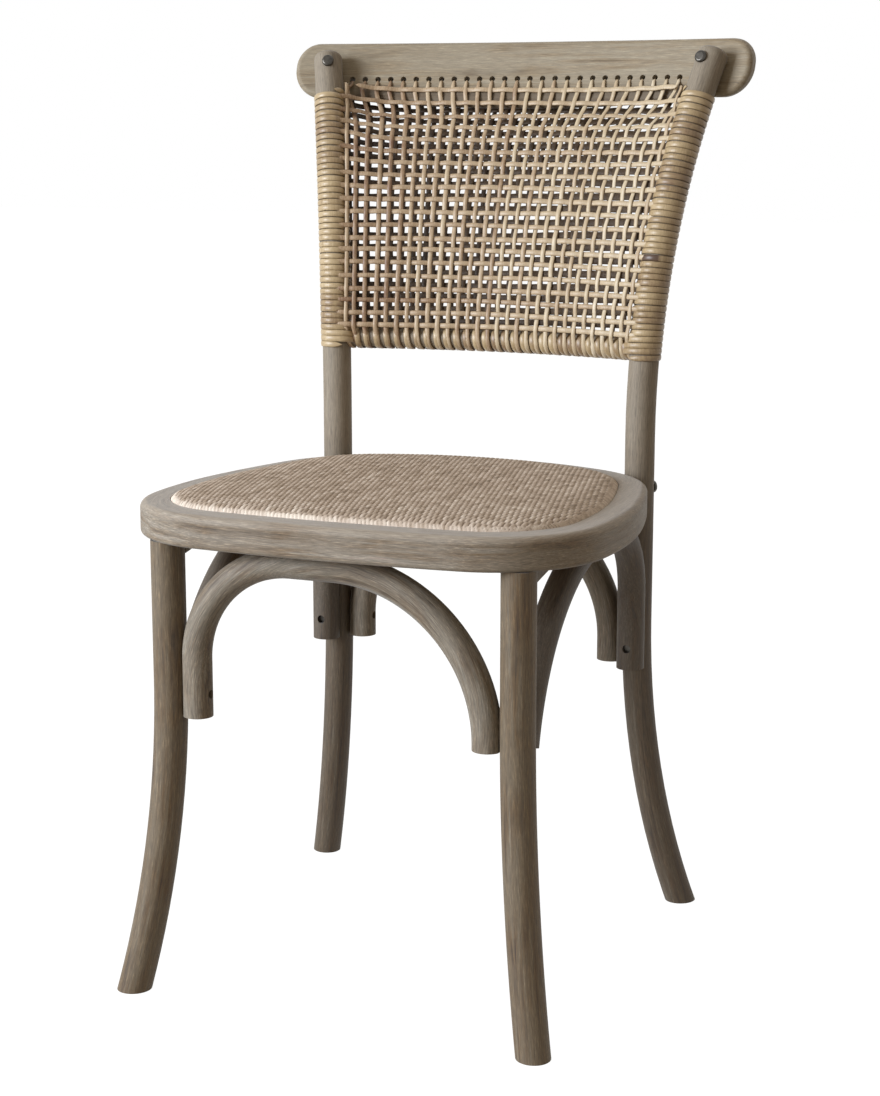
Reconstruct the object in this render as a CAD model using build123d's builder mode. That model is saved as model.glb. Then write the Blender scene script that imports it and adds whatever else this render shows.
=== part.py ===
from build123d import *
import os
from math import acos, asin, atan2, cos, degrees, pi, radians, sin, sqrt, tan

# Rattan side chair: bentwood seat ring, four legs, four bentwood arches, a curved crest rail,
# a wrapped lower rail and an open back woven in two layers. Millimetres, +Z up, the sitter
# faces -Y, and the origin lies on the floor in the middle of the chair's outline.

# Frame: how far the seat's own middle lies in front of the middle of the whole chair
seat_middle_y = -44.5

# Seat ring
ring_bottom_z = 432.5
ring_thickness = 31.0
ring_top_z = ring_bottom_z + ring_thickness
ring_front = 217.0
ring_front_corner_x = 130.0
ring_front_bow = 6.0
ring_shoulder_x = 229.0
ring_shoulder_y = 112.0
ring_side_x = 223.0
ring_side_y = 12.0
ring_hip_x = 200.0
ring_hip_y = 105.0
ring_heel_x = 128.5
ring_heel_y = 185.5
ring_outer_round = 7.0
ring_under_round = 4.0
rebate_inset = 28.0
rebate_depth = 13.0
ring_width = 46.0
panel_clearance = 0.4

# Drop-in seat panel: plywood, padding and a woven top
board_thickness = 6.5
weave_thickness = 2.4
seat_crown = 11.0
panel_clear_top = 0.3
crown_size_shares = (1.0, 0.985, 0.93, 0.8, 0.55, 0.3)
crown_rise_shares = (0.0, 0.3, 0.62, 0.85, 0.97, 1.0)

# Front legs
front_leg_x = 173.8
front_leg_y = seat_middle_y - 178.0
front_leg_radius = 16.0
front_bend_radius = 1050.0
front_bend_z = 300.0
front_heading = -48.4
tenon_radius = 11.0
tenon_length = 17.0
tenon_clearance = 0.1
foot_overrun = 20.0

# Back posts: rear leg and upright in one bent rod
post_x = 168.5
post_y = seat_middle_y + 178.0
post_radius = 15.0
post_bend_radius = 840.0
post_lower_bend_z = 310.0
post_lower_heading = 48.0
post_upper_bend_z = 500.0
post_upper_heading = 60.0
post_top_rise = 381.0
post_top_round = 6.0
post_notch_clearance = 0.15

# Crest rail
crest_y = seat_middle_y + 285.0
crest_hole_z = 855.0
crest_lean = 19.0
crest_bow_radius = 900.0
crest_half_length = 252.5
crest_thickness = 19.0
crest_above_holes = 38.0
crest_below_holes = 20.0
crest_belly = 11.0
crest_top_corner = 24.0
crest_bottom_corner = 31.0
crest_edge_round = 5.0
belly_share = 0.83
hole_count = 28
hole_pitch = 14.1
hole_radius = 3.1

# Lower back rail
rail_z = 588.0
rail_radius = 11.0
rail_bow = 27.0
rail_tenon_reach = 7.0
rail_tenon_radius = 7.0
rail_clearance = 0.1

# Arches
arch_radius = 14.0
arch_flat = 1.5
arch_end_z = 267.0
arch_seat_flat = 1.3
arch_clearance = 0.1
front_arch_left_bend = 98.0
front_arch_right_bend = 148.0
rear_arch_bend = 130.0
side_arch_front_bend = 200.0
side_arch_rear_bend = 72.0
side_arch_x = 171.0
side_arch_heel = 6.0

# Screws and bolts
screw_rise = 22.0
screw_head_radius = 3.9
screw_head_height = 3.0
screw_shank_radius = 2.2
screw_length = 34.0
block_screw_length = 25.0
counterbore_radius = 4.3
counterbore_depth = 8.0
screw_clearance = 0.1
bolt_radius = 3.0
bolt_head_radius = 6.2
bolt_head_height = 3.2
bolt_clearance = 0.15
bolt_nut_radius = 6.5
bolt_nut_height = 4.5
dome_share = 0.7071
crest_bolt_z = 865.5
seat_bolt_z = ring_bottom_z + ring_thickness / 2
seat_bolt_heading = 225.0
seat_bolt_reach = 37.0
barrel_nut_radius = 5.0
barrel_nut_length = 22.0

# Corner blocks behind the front legs
block_length = 42.0
block_height = 15.0
block_width = 20.0
block_clearance = 0.1

# Wrapping of split rattan
wrap_thickness = 2.0
wrap_pitch = 6.3
wrap_clearance = 0.1
wrap_turns = (19, 17)
wrap_gap_length = 4.0
rail_wrap_pitch = 5.3
rail_wrap_turns = 17
rail_wrap_runs = 3

# Woven back
strand_thickness = 2.6
sheet_clearance = 0.3
gap_columns = 17
gap_rows = 17
gap_share = 0.5
front_edge_angle = 36.0
rear_edge_angle = 72.0
sheet_levels = 4


def heading(angle):
    return Vector(cos(radians(angle)), sin(radians(angle)), 0)


def bend_point(start, towards, radius, rise):
    """A point on the bend that leaves the upright line at start and turns towards a heading."""
    offset = radius - sqrt(radius**2 - rise**2)
    return start + towards * offset + Vector(0, 0, rise)


def bend_middle(start, towards, radius, rise):
    return bend_point(start, towards, radius, radius * sin(asin(rise / radius) / 2))


def post_axis(height):
    """The middle of the right back post at a height above the seat, and its direction there."""
    start = Vector(post_x, post_y, post_upper_bend_z)
    towards = heading(post_upper_heading)
    rise = max(height - post_upper_bend_z, 0)
    middle = bend_point(start, towards, post_bend_radius, rise)
    angle = asin(rise / post_bend_radius)
    middle = Vector(middle.X, middle.Y, height)
    return middle, towards * sin(angle) + Vector(0, 0, cos(angle))


def flipped(point):
    return Vector(-point.X, point.Y, point.Z)


def seat_outline():
    """The seat ring's outer edge: tangent arcs down the right side, mirrored to the left."""
    middle = Vector(0, seat_middle_y)
    places = [
        (ring_front_corner_x, -ring_front + ring_front_bow),
        (ring_shoulder_x, -ring_shoulder_y),
        (ring_side_x, ring_side_y),
        (ring_hip_x, ring_hip_y),
        (ring_heel_x, ring_heel_y),
    ]
    with BuildLine() as edge:
        last_point = middle + Vector(0, -ring_front)
        last_tangent = Vector(1, 0)
        for place in places:
            next_point = middle + Vector(*place)
            arc = TangentArc(last_point, next_point, tangent=last_tangent)
            last_point = next_point
            last_tangent = arc % 1
        turn_left = pi - atan2(last_tangent.Y, last_tangent.X)
        rear_point = Vector(0, last_point.Y + last_point.X * tan(turn_left / 2))
        TangentArc(last_point, rear_point, tangent=last_tangent)
        mirror(about=Plane.YZ)
    return edge.line


outer_edge = seat_outline()


def seat_shape(inset, share=1.0):
    """A face inside the seat's outline, drawn in by an inset and scaled about its middle."""
    with BuildSketch() as shape:
        add(outer_edge)
        make_face()
        if inset > 0:
            offset(amount=-inset, kind=Kind.INTERSECTION)
    centre = Vector(0, seat_middle_y)
    moved = shape.sketch.moved(Location(-centre))
    return moved.scale(share).moved(Location(centre))


def drilled(point, outward):
    """A plane for a hole: on the surface, facing out of the wood."""
    return Plane(origin=point, z_dir=outward)


# Places of the screws and bolts
leg_face_x = front_leg_x - front_leg_radius
leg_face_y = front_leg_y + front_leg_radius
post_face_x = post_x - post_radius
post_face_y = post_y - post_radius
screw_z = arch_end_z + screw_rise
arch_top_z = ring_bottom_z - arch_radius + arch_flat
front_arch_y = front_leg_y
front_arch_end_x = leg_face_x - arch_radius + arch_seat_flat
rear_arch_end_x = post_face_x - arch_radius + arch_seat_flat
side_arch_rear_y = post_face_y - arch_radius + arch_seat_flat
side_arch_front_y = leg_face_y + side_arch_heel


def drop_angle(radius):
    """How far round its bend an arch has turned at its lower end."""
    return acos(max(1 - (arch_top_z - arch_end_z) / radius, 0))


def arch_half(end, side, radius, place):
    """The axis of one half of an arch, from its lower end up to the end of its bend."""
    angle = drop_angle(radius)
    crown = end - side * radius * sin(angle)
    low_z = arch_top_z - radius * (1 - cos(angle))
    middle_h = crown + side * radius * sin(angle / 2)
    middle_z = arch_top_z - radius * (1 - cos(angle / 2))
    bend = ThreePointArc(place(end, low_z), place(middle_h, middle_z), place(crown, arch_top_z))
    if low_z > arch_end_z:
        Line(place(end, arch_end_z), place(end, low_z))
    return bend @ 1


def arch_rod(place, low, high, low_bend, high_bend):
    """A bentwood arch: a round rod swept up from one end, over the top and down to the other."""
    with BuildLine() as axis:
        first = arch_half(low, -1, low_bend, place)
        last = arch_half(high, 1, high_bend, place)
        Line(first, last)
    path = axis.wire()
    start = path @ 0
    with BuildSketch(Plane(origin=start, z_dir=path % 0)) as section:
        Circle(arch_radius)
    return sweep(sections=section.sketch, path=path, mode=Mode.PRIVATE)


def trimmed_arch(rod):
    """Flats an arch's top where it meets the ring."""
    add(rod)
    split(bisect_by=Plane.XY.offset(ring_bottom_z - arch_clearance / 2), keep=Keep.BOTTOM)


def arch_end_hole(point, outward):
    with Locations(drilled(point, outward)):
        CounterBoreHole(
            screw_shank_radius + screw_clearance, counterbore_radius, counterbore_depth, 2 * arch_radius
        )


def arch_top_hole(point):
    with Locations(drilled(point, Vector(0, 0, -1))):
        CounterBoreHole(
            screw_shank_radius + screw_clearance, counterbore_radius, counterbore_depth, 2 * arch_radius
        )


def pilot_hole(point, outward, depth):
    with Locations(drilled(point, outward)):
        Hole(screw_shank_radius + screw_clearance, depth)


def side_bend_h(radius, height):
    """How far a bend's axis still lies beyond its crown at a height."""
    rise = arch_top_z - height
    return sqrt(max(radius**2 - (radius - rise) ** 2, 0)) if rise < radius else radius


front_arch_screw_face = front_arch_end_x - arch_radius
rear_arch_screw_face = rear_arch_end_x - arch_radius
side_rear_screw_face = side_arch_rear_y - arch_radius
side_front_crown = side_arch_front_y + side_arch_front_bend * sin(drop_angle(side_arch_front_bend))
side_front_screw_face = (
    side_front_crown - side_bend_h(side_arch_front_bend, screw_z) + arch_radius
)
head_sink = counterbore_depth - screw_head_height
screw_bite = head_sink + screw_length - (2 * arch_radius - arch_seat_flat) + screw_clearance

end_screws = []
for side in (-1, 1):
    end_screws.append((Vector(side * front_arch_screw_face, front_arch_y, screw_z), Vector(-side, 0, 0)))
    end_screws.append((Vector(side * rear_arch_screw_face, post_y, screw_z), Vector(-side, 0, 0)))
    end_screws.append((Vector(side * side_arch_x, side_rear_screw_face, screw_z), Vector(0, -1, 0)))
    end_screws.append((Vector(side * side_arch_x, side_front_screw_face, screw_z), Vector(0, 1, 0)))

side_rear_crown = side_arch_rear_y - side_arch_rear_bend
front_left_crown = -front_arch_end_x + front_arch_left_bend
front_right_crown = front_arch_end_x - front_arch_right_bend
arch_under_z = arch_top_z - arch_radius
front_top_x = (front_left_crown + front_right_crown) / 2
side_top_y = (side_front_crown + side_rear_crown) / 2
top_screws = [
    Vector(front_top_x, front_arch_y, arch_under_z),
    Vector(0, post_y, arch_under_z),
    Vector(-side_arch_x, side_top_y, arch_under_z),
    Vector(side_arch_x, side_top_y, arch_under_z),
]

board_bottom_z = ring_top_z - rebate_depth
ledge_inset = (rebate_inset + ring_width) / 2
board_screws = []
for side in (-1, 1):
    board_screws.append(Vector(side * (ring_side_x - ledge_inset), seat_middle_y, ring_bottom_z))
board_screws.append(Vector(0, seat_middle_y - ring_front + ledge_inset, ring_bottom_z))
board_screws.append(Vector(0, post_y - ledge_inset + post_radius, ring_bottom_z))
board_screw_length = board_bottom_z - ring_bottom_z + board_thickness / 2

block_front_y = leg_face_y + block_clearance
block_screw_y = block_front_y + block_length / 3
block_screws = [
    Vector(side * front_leg_x, block_screw_y, ring_bottom_z - block_height / 2) for side in (-1, 1)
]

# Seat bolts run level from the outer back of each post into the ring's rear corner
seat_bolt_way = heading(seat_bolt_heading)
seat_bolt_start = Vector(post_x, post_y, seat_bolt_z) - seat_bolt_way * post_radius
barrel_place = Vector(post_x, post_y, 0) + seat_bolt_way * (seat_bolt_reach - barrel_nut_radius * 1.5)
barrel_bottom_z = seat_bolt_z - barrel_nut_length / 2

# The crest rail leans back and is bowed round an upright line in front of the chair
crest_back = cos(radians(crest_lean))
crest_slope = tan(radians(crest_lean))
crest_axis = Vector(0, crest_y - crest_bow_radius, 0)


def crest_face(angle, height):
    """A point on the rail's front face and the way out of it, at an angle round its bow."""
    back = Vector(sin(radians(angle)), cos(radians(angle)), 0)
    radius = crest_bow_radius + (height - crest_hole_z) * crest_slope
    out = Vector(0, 0, sin(radians(crest_lean))) - back * crest_back
    return crest_axis + back * radius + Vector(0, 0, height), out


post_top, post_top_way = post_axis(crest_bolt_z)
bolt_angle = degrees(asin(post_top.X / crest_bow_radius))
bolt_seat, bolt_out = crest_face(bolt_angle, crest_bolt_z)
crest_up = Vector(sin(radians(bolt_angle)), cos(radians(bolt_angle)), 1 / crest_slope).normalized()
bolt_front = bolt_seat + bolt_out * (post_radius + (post_top - bolt_seat).dot(bolt_out))
bolt_back = bolt_seat - bolt_out * crest_thickness

# Lower rail's ends on the post axes, its middle, and its direction where it leaves the right post
rail_end, rail_post_way = post_axis(rail_z)
rail_middle = Vector(0, rail_end.Y + rail_bow, rail_z)
rail_bow_radius = (rail_end.X**2 + rail_bow**2) / (2 * rail_bow)
rail_end_angle = asin(rail_end.X / rail_bow_radius)
rail_end_way = Vector(-cos(rail_end_angle), sin(rail_end_angle), 0)

bolts = []

# Seat ring, bent from one length of wood and rebated for the seat panel
with BuildPart() as seat_ring:
    with BuildSketch(Plane.XY.offset(ring_bottom_z)):
        add(seat_shape(0))
    extrude(amount=ring_thickness)
    fillet(seat_ring.faces().sort_by(Axis.Z)[-1].edges(), radius=ring_outer_round)
    fillet(seat_ring.faces().sort_by(Axis.Z)[0].edges(), radius=ring_under_round)
    with BuildSketch(Plane.XY.offset(ring_bottom_z)):
        add(seat_shape(ring_width))
    extrude(amount=ring_thickness, mode=Mode.SUBTRACT)
    with BuildSketch(Plane.XY.offset(board_bottom_z)):
        add(seat_shape(rebate_inset))
    extrude(amount=rebate_depth, mode=Mode.SUBTRACT)
    for side in (-1, 1):
        with BuildSketch(Plane.XY.offset(ring_bottom_z)):
            with Locations((side * post_x, post_y)):
                Circle(post_radius + post_notch_clearance)
        extrude(amount=ring_thickness, mode=Mode.SUBTRACT)
        with Locations((side * front_leg_x, front_leg_y, ring_bottom_z)):
            Cylinder(
                tenon_radius + tenon_clearance,
                tenon_length + tenon_clearance,
                align=(Align.CENTER, Align.CENTER, Align.MIN),
                mode=Mode.SUBTRACT,
            )
        bolt_start = seat_bolt_start if side > 0 else flipped(seat_bolt_start)
        bolt_way = seat_bolt_way if side > 0 else flipped(seat_bolt_way)
        with Locations(Plane(origin=bolt_start, z_dir=bolt_way)):
            Cylinder(
                bolt_radius + bolt_clearance,
                post_radius + seat_bolt_reach + bolt_clearance,
                align=(Align.CENTER, Align.CENTER, Align.MIN),
                mode=Mode.SUBTRACT,
            )
        with Locations((side * barrel_place.X, barrel_place.Y, ring_bottom_z)):
            Cylinder(
                barrel_nut_radius + bolt_clearance,
                barrel_bottom_z + barrel_nut_length + bolt_clearance - ring_bottom_z,
                align=(Align.CENTER, Align.CENTER, Align.MIN),
                mode=Mode.SUBTRACT,
            )
    for place in top_screws:
        pilot_hole(Vector(place.X, place.Y, ring_bottom_z), Vector(0, 0, -1), ring_thickness / 2)
    for place in block_screws:
        pilot_hole(Vector(place.X, place.Y, ring_bottom_z), Vector(0, 0, -1), ring_thickness / 2)
    for place in board_screws:
        with Locations(drilled(place, Vector(0, 0, -1))):
            CounterBoreHole(
                screw_shank_radius + screw_clearance,
                counterbore_radius,
                counterbore_depth,
                ring_thickness,
            )
seat_ring.part.label = "seat_ring"

# Drop-in seat panel: a plywood board in the rebate
with BuildPart() as seat_board:
    with BuildSketch(Plane.XY.offset(board_bottom_z)):
        add(seat_shape(rebate_inset + panel_clearance))
    extrude(amount=board_thickness)
    for place in board_screws:
        pilot_hole(Vector(place.X, place.Y, board_bottom_z), Vector(0, 0, -1), board_thickness * 2 / 3)
seat_board.part.label = "seat_board"

panel_inset = rebate_inset + panel_clearance
padding_bottom_z = board_bottom_z + board_thickness


def crowned(inset, bottom, side_top, crown):
    """A low dome over the seat's outline: straight sides, then a crown drawn in to its top."""
    sections = []
    with BuildSketch(Plane.XY.offset(bottom)) as low:
        add(seat_shape(inset))
    sections.append(low.sketch)
    for size, rise in zip(crown_size_shares, crown_rise_shares):
        with BuildSketch(Plane.XY.offset(side_top + crown * rise)) as level:
            add(seat_shape(inset, size))
        sections.append(level.sketch)
    loft(sections=sections, ruled=True)


# Padding under the woven top
with BuildPart() as seat_padding:
    crowned(
        panel_inset + weave_thickness + panel_clear_top,
        padding_bottom_z,
        ring_top_z - weave_thickness,
        seat_crown - panel_clear_top,
    )
seat_padding.part.label = "seat_padding"

# Woven rattan top, drawn over the padding and tucked down round its edge
with BuildPart() as seat_weave:
    crowned(panel_inset, padding_bottom_z, ring_top_z, seat_crown)
    with BuildPart(mode=Mode.PRIVATE) as weave_core:
        crowned(
            panel_inset + weave_thickness,
            padding_bottom_z,
            ring_top_z - weave_thickness + panel_clear_top,
            seat_crown,
        )
    add(weave_core.part, mode=Mode.SUBTRACT)
seat_weave.part.label = "seat_weave"

# Front leg: a round rod, upright under the seat and bent out and forward to the foot
with BuildPart() as front_leg_right:
    leg_top = Vector(front_leg_x, front_leg_y, ring_bottom_z - arch_clearance / 2)
    leg_knee = Vector(front_leg_x, front_leg_y, front_bend_z)
    leg_drop = -(front_bend_z + foot_overrun)
    with BuildLine() as leg_axis:
        Line(leg_top, leg_knee)
        ThreePointArc(
            leg_knee,
            bend_middle(leg_knee, heading(front_heading), front_bend_radius, leg_drop),
            bend_point(leg_knee, heading(front_heading), front_bend_radius, leg_drop),
        )
    with BuildSketch(Plane(origin=leg_top, z_dir=(0, 0, -1))) as leg_section:
        Circle(front_leg_radius)
    sweep(sections=leg_section.sketch, path=leg_axis.wire())
    split(bisect_by=Plane.XY, keep=Keep.TOP)
    with Locations(leg_top):
        Cylinder(tenon_radius, tenon_length, align=(Align.CENTER, Align.CENTER, Align.MIN))
    pilot_hole(Vector(leg_face_x, front_arch_y, screw_z), Vector(-1, 0, 0), screw_bite)
    pilot_hole(Vector(side_arch_x, leg_face_y, screw_z), Vector(0, 1, 0), screw_bite)
front_leg_right.part.label = "front_leg_right"

with BuildPart() as front_leg_left:
    mirror(front_leg_right.part, about=Plane.YZ)
front_leg_left.part.label = "front_leg_left"

# Back post: rear leg and upright in one rod, bent out and back below and above the seat
with BuildPart() as back_post_right:
    low_knee = Vector(post_x, post_y, post_lower_bend_z)
    high_knee = Vector(post_x, post_y, post_upper_bend_z)
    post_drop = -(post_lower_bend_z + foot_overrun)
    low_heading = heading(post_lower_heading)
    high_heading = heading(post_upper_heading)
    with BuildLine() as post_line:
        foot = bend_point(low_knee, low_heading, post_bend_radius, post_drop)
        low_bend = ThreePointArc(
            foot, bend_middle(low_knee, low_heading, post_bend_radius, post_drop), low_knee
        )
        Line(low_knee, high_knee)
        ThreePointArc(
            high_knee,
            bend_middle(high_knee, high_heading, post_bend_radius, post_top_rise),
            bend_point(high_knee, high_heading, post_bend_radius, post_top_rise),
        )
    with BuildSketch(Plane(origin=foot, z_dir=low_bend % 0)) as post_section:
        Circle(post_radius)
    sweep(sections=post_section.sketch, path=post_line.wire())
    fillet(back_post_right.faces().sort_by(Axis.Z)[-1].edges(), radius=post_top_round)
    split(bisect_by=Plane.XY, keep=Keep.TOP)
    # Flat seat for the crest rail, cut into the back of the post's top
    notch_drop = (crest_bolt_z - crest_hole_z + crest_below_holes + post_notch_clearance) / crest_up.Z
    notch_floor = bolt_seat - crest_up * notch_drop
    notch_floor = notch_floor + bolt_out * post_notch_clearance
    with Locations(Plane(origin=notch_floor, x_dir=(-bolt_out).cross(crest_up), z_dir=crest_up)):
        Box(
            crest_half_length,
            crest_thickness * 2,
            crest_above_holes * 3,
            align=(Align.CENTER, Align.MIN, Align.MIN),
            mode=Mode.SUBTRACT,
        )
    with Locations(Plane(origin=bolt_front, z_dir=bolt_out)):
        Hole(bolt_radius + bolt_clearance, post_radius * 3)
    with Locations(Plane(origin=seat_bolt_start, z_dir=-seat_bolt_way)):
        Hole(bolt_radius + bolt_clearance, post_radius * 3)
    pilot_hole(Vector(post_face_x, post_y, screw_z), Vector(-1, 0, 0), screw_bite)
    pilot_hole(Vector(side_arch_x, post_face_y, screw_z), Vector(0, -1, 0), screw_bite)
    with Locations(Plane(origin=rail_end, z_dir=rail_end_way)):
        with Locations((0, 0, post_radius - rail_tenon_reach - rail_clearance)):
            Cylinder(
                rail_tenon_radius + rail_clearance,
                post_radius,
                align=(Align.CENTER, Align.CENTER, Align.MIN),
                mode=Mode.SUBTRACT,
            )
back_post_right.part.label = "back_post_right"

with BuildPart() as back_post_left:
    mirror(back_post_right.part, about=Plane.YZ)
back_post_left.part.label = "back_post_left"

# Crest rail: a board bowed back in the middle, with rounded ends and a row of cane holes
with BuildPart() as crest_rail:
    turn = asin((crest_half_length + crest_thickness) / crest_bow_radius)
    end_way = Vector(sin(turn), cos(turn), 0)
    low = crest_below_holes + crest_belly * 2
    high = crest_above_holes * 2
    with BuildSketch(Plane(origin=crest_axis, x_dir=end_way, z_dir=end_way.cross(Vector(0, 0, 1)))):
        with BuildLine():
            Polyline(
                (crest_bow_radius - low * crest_slope, crest_hole_z - low),
                (crest_bow_radius + high * crest_slope, crest_hole_z + high),
                (crest_bow_radius + high * crest_slope + crest_thickness / crest_back, crest_hole_z + high),
                (crest_bow_radius - low * crest_slope + crest_thickness / crest_back, crest_hole_z - low),
                close=True,
            )
        make_face()
    revolve(axis=Axis(crest_axis, (0, 0, 1)), revolution_arc=degrees(2 * turn))
    top = crest_hole_z + crest_above_holes
    bottom = crest_hole_z - crest_below_holes
    belly_x = crest_half_length * belly_share
    with BuildSketch(Plane.XZ) as crest_shape:
        with BuildLine():
            Polyline(
                (-belly_x, bottom),
                (-crest_half_length, bottom),
                (-crest_half_length, top),
                (crest_half_length, top),
                (crest_half_length, bottom),
                (belly_x, bottom),
            )
            ThreePointArc((belly_x, bottom), (0, bottom - crest_belly), (-belly_x, bottom))
        make_face()
        corners = crest_shape.vertices().group_by(Axis.X)
        left_end = corners[0].sort_by(Axis.Y)
        right_end = corners[-1].sort_by(Axis.Y)
        fillet([left_end[-1], right_end[-1]], radius=crest_top_corner)
        corners = crest_shape.vertices().group_by(Axis.X)
        left_end = corners[0].sort_by(Axis.Y)
        right_end = corners[-1].sort_by(Axis.Y)
        fillet([left_end[0], right_end[0]], radius=crest_bottom_corner)
    extrude(amount=crest_bow_radius, both=True, mode=Mode.INTERSECT)
    broad_faces = crest_rail.faces().sort_by(SortBy.AREA)[-2:]
    fillet(broad_faces[0].edges() + broad_faces[1].edges(), radius=crest_edge_round)
    for number in range(hole_count):
        angle = degrees((number - (hole_count - 1) / 2) * hole_pitch / crest_bow_radius)
        place, out = crest_face(angle, crest_hole_z)
        with Locations(Plane(origin=place + out * crest_edge_round, z_dir=out)):
            Hole(hole_radius, crest_thickness + crest_edge_round * 2)
    for side in (-1, 1):
        place = bolt_front if side > 0 else flipped(bolt_front)
        out = bolt_out if side > 0 else flipped(bolt_out)
        with Locations(Plane(origin=place, z_dir=out)):
            Hole(bolt_radius + bolt_clearance, post_radius * 2 + crest_thickness * 2)
crest_rail.part.label = "crest_rail"

# Lower back rail: a bowed round rod, coped to the posts and tenoned into them
with BuildPart() as lower_back_rail:
    with BuildLine() as rail_line:
        ThreePointArc(flipped(rail_end), rail_middle, rail_end)
    with BuildSketch(Plane(origin=flipped(rail_end), z_dir=rail_line.wire() % 0)) as rail_section:
        Circle(rail_radius)
    sweep(sections=rail_section.sketch, path=rail_line.wire())
    for side in (-1, 1):
        end = rail_end if side > 0 else flipped(rail_end)
        way = rail_end_way if side > 0 else flipped(rail_end_way)
        lean = rail_post_way if side > 0 else flipped(rail_post_way)
        with Locations(Plane(origin=end, z_dir=lean)):
            Cylinder(post_radius + post_notch_clearance, rail_radius * 6, mode=Mode.SUBTRACT)
    for side in (-1, 1):
        end = rail_end if side > 0 else flipped(rail_end)
        way = rail_end_way if side > 0 else flipped(rail_end_way)
        with Locations(Plane(origin=end, z_dir=way)):
            with Locations((0, 0, post_radius - rail_tenon_reach)):
                Cylinder(
                    rail_tenon_radius,
                    post_radius,
                    align=(Align.CENTER, Align.CENTER, Align.MIN),
                )
lower_back_rail.part.label = "lower_back_rail"

# Arches: one each at the front, the rear, the left and the right, flat where they meet the ring
with BuildPart() as front_arch:
    trimmed_arch(
        arch_rod(
            lambda h, z: Vector(h, front_arch_y, z),
            -front_arch_end_x,
            front_arch_end_x,
            front_arch_left_bend,
            front_arch_right_bend,
        )
    )
    for side in (-1, 1):
        flat = Plane(origin=(side * (leg_face_x - arch_clearance), 0, 0), z_dir=(side, 0, 0))
        split(bisect_by=flat, keep=Keep.BOTTOM)
        arch_end_hole(Vector(side * front_arch_screw_face, front_arch_y, screw_z), Vector(-side, 0, 0))
    arch_top_hole(top_screws[0])
front_arch.part.label = "front_arch"

with BuildPart() as rear_arch:
    trimmed_arch(
        arch_rod(
            lambda h, z: Vector(h, post_y, z),
            -rear_arch_end_x,
            rear_arch_end_x,
            rear_arch_bend,
            rear_arch_bend,
        )
    )
    for side in (-1, 1):
        flat = Plane(origin=(side * (post_face_x - arch_clearance), 0, 0), z_dir=(side, 0, 0))
        split(bisect_by=flat, keep=Keep.BOTTOM)
        arch_end_hole(Vector(side * rear_arch_screw_face, post_y, screw_z), Vector(-side, 0, 0))
    arch_top_hole(top_screws[1])
rear_arch.part.label = "rear_arch"

with BuildPart() as right_arch:
    trimmed_arch(
        arch_rod(
            lambda h, z: Vector(side_arch_x, h, z),
            side_arch_front_y,
            side_arch_rear_y,
            side_arch_front_bend,
            side_arch_rear_bend,
        )
    )
    split(bisect_by=Plane(origin=(0, leg_face_y + arch_clearance, 0), z_dir=(0, 1, 0)), keep=Keep.TOP)
    split(bisect_by=Plane(origin=(0, post_face_y - arch_clearance, 0), z_dir=(0, 1, 0)), keep=Keep.BOTTOM)
    arch_end_hole(Vector(side_arch_x, side_rear_screw_face, screw_z), Vector(0, -1, 0))
    arch_end_hole(Vector(side_arch_x, side_front_screw_face, screw_z), Vector(0, 1, 0))
    arch_top_hole(top_screws[3])
right_arch.part.label = "right_arch"

with BuildPart() as left_arch:
    mirror(right_arch.part, about=Plane.YZ)
left_arch.part.label = "left_arch"

# Corner blocks: tapered fillers under the ring, behind the front legs
with BuildPart() as corner_block_right:
    with BuildSketch(Plane.YZ.offset(front_leg_x - block_width / 2)):
        with BuildLine():
            Polyline(
                (block_front_y, ring_bottom_z - arch_clearance / 2),
                (block_front_y + block_length, ring_bottom_z - arch_clearance / 2),
                (block_front_y + block_length, ring_bottom_z - block_height / 2),
                (block_front_y, ring_bottom_z - block_height),
                close=True,
            )
        make_face()
    extrude(amount=block_width)
    place = block_screws[1]
    with Locations(Plane(origin=place, z_dir=(0, 0, -1))):
        Cylinder(
            counterbore_radius,
            block_height,
            align=(Align.CENTER, Align.CENTER, Align.MIN),
            mode=Mode.SUBTRACT,
        )
        Hole(screw_shank_radius + screw_clearance, block_height)
corner_block_right.part.label = "corner_block_right"

with BuildPart() as corner_block_left:
    mirror(corner_block_right.part, about=Plane.YZ)
corner_block_left.part.label = "corner_block_left"


def wood_screw(head_top, way, length):
    """A screw whose head starts at a point and whose shank runs on along a direction."""
    with Locations(Plane(origin=head_top, z_dir=way)):
        Cylinder(
            screw_head_radius, screw_head_height, align=(Align.CENTER, Align.CENTER, Align.MIN)
        )
        Cylinder(screw_shank_radius, length, align=(Align.CENTER, Align.CENTER, Align.MIN))


with BuildPart() as arch_end_screws:
    for place, out in end_screws:
        wood_screw(place - out * head_sink, -out, screw_length)
arch_end_screws.part.label = "arch_end_screws"

with BuildPart() as arch_top_screws:
    for place in top_screws:
        wood_screw(place + Vector(0, 0, head_sink), Vector(0, 0, 1), screw_length)
arch_top_screws.part.label = "arch_top_screws"

with BuildPart() as seat_board_screws:
    for place in board_screws:
        reach_up = board_screw_length - head_sink
        wood_screw(place + Vector(0, 0, head_sink), Vector(0, 0, 1), reach_up)
seat_board_screws.part.label = "seat_board_screws"

with BuildPart() as corner_block_screws:
    for place in block_screws:
        wood_screw(place - Vector(0, 0, screw_head_height), Vector(0, 0, 1), block_screw_length)
corner_block_screws.part.label = "corner_block_screws"


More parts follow.
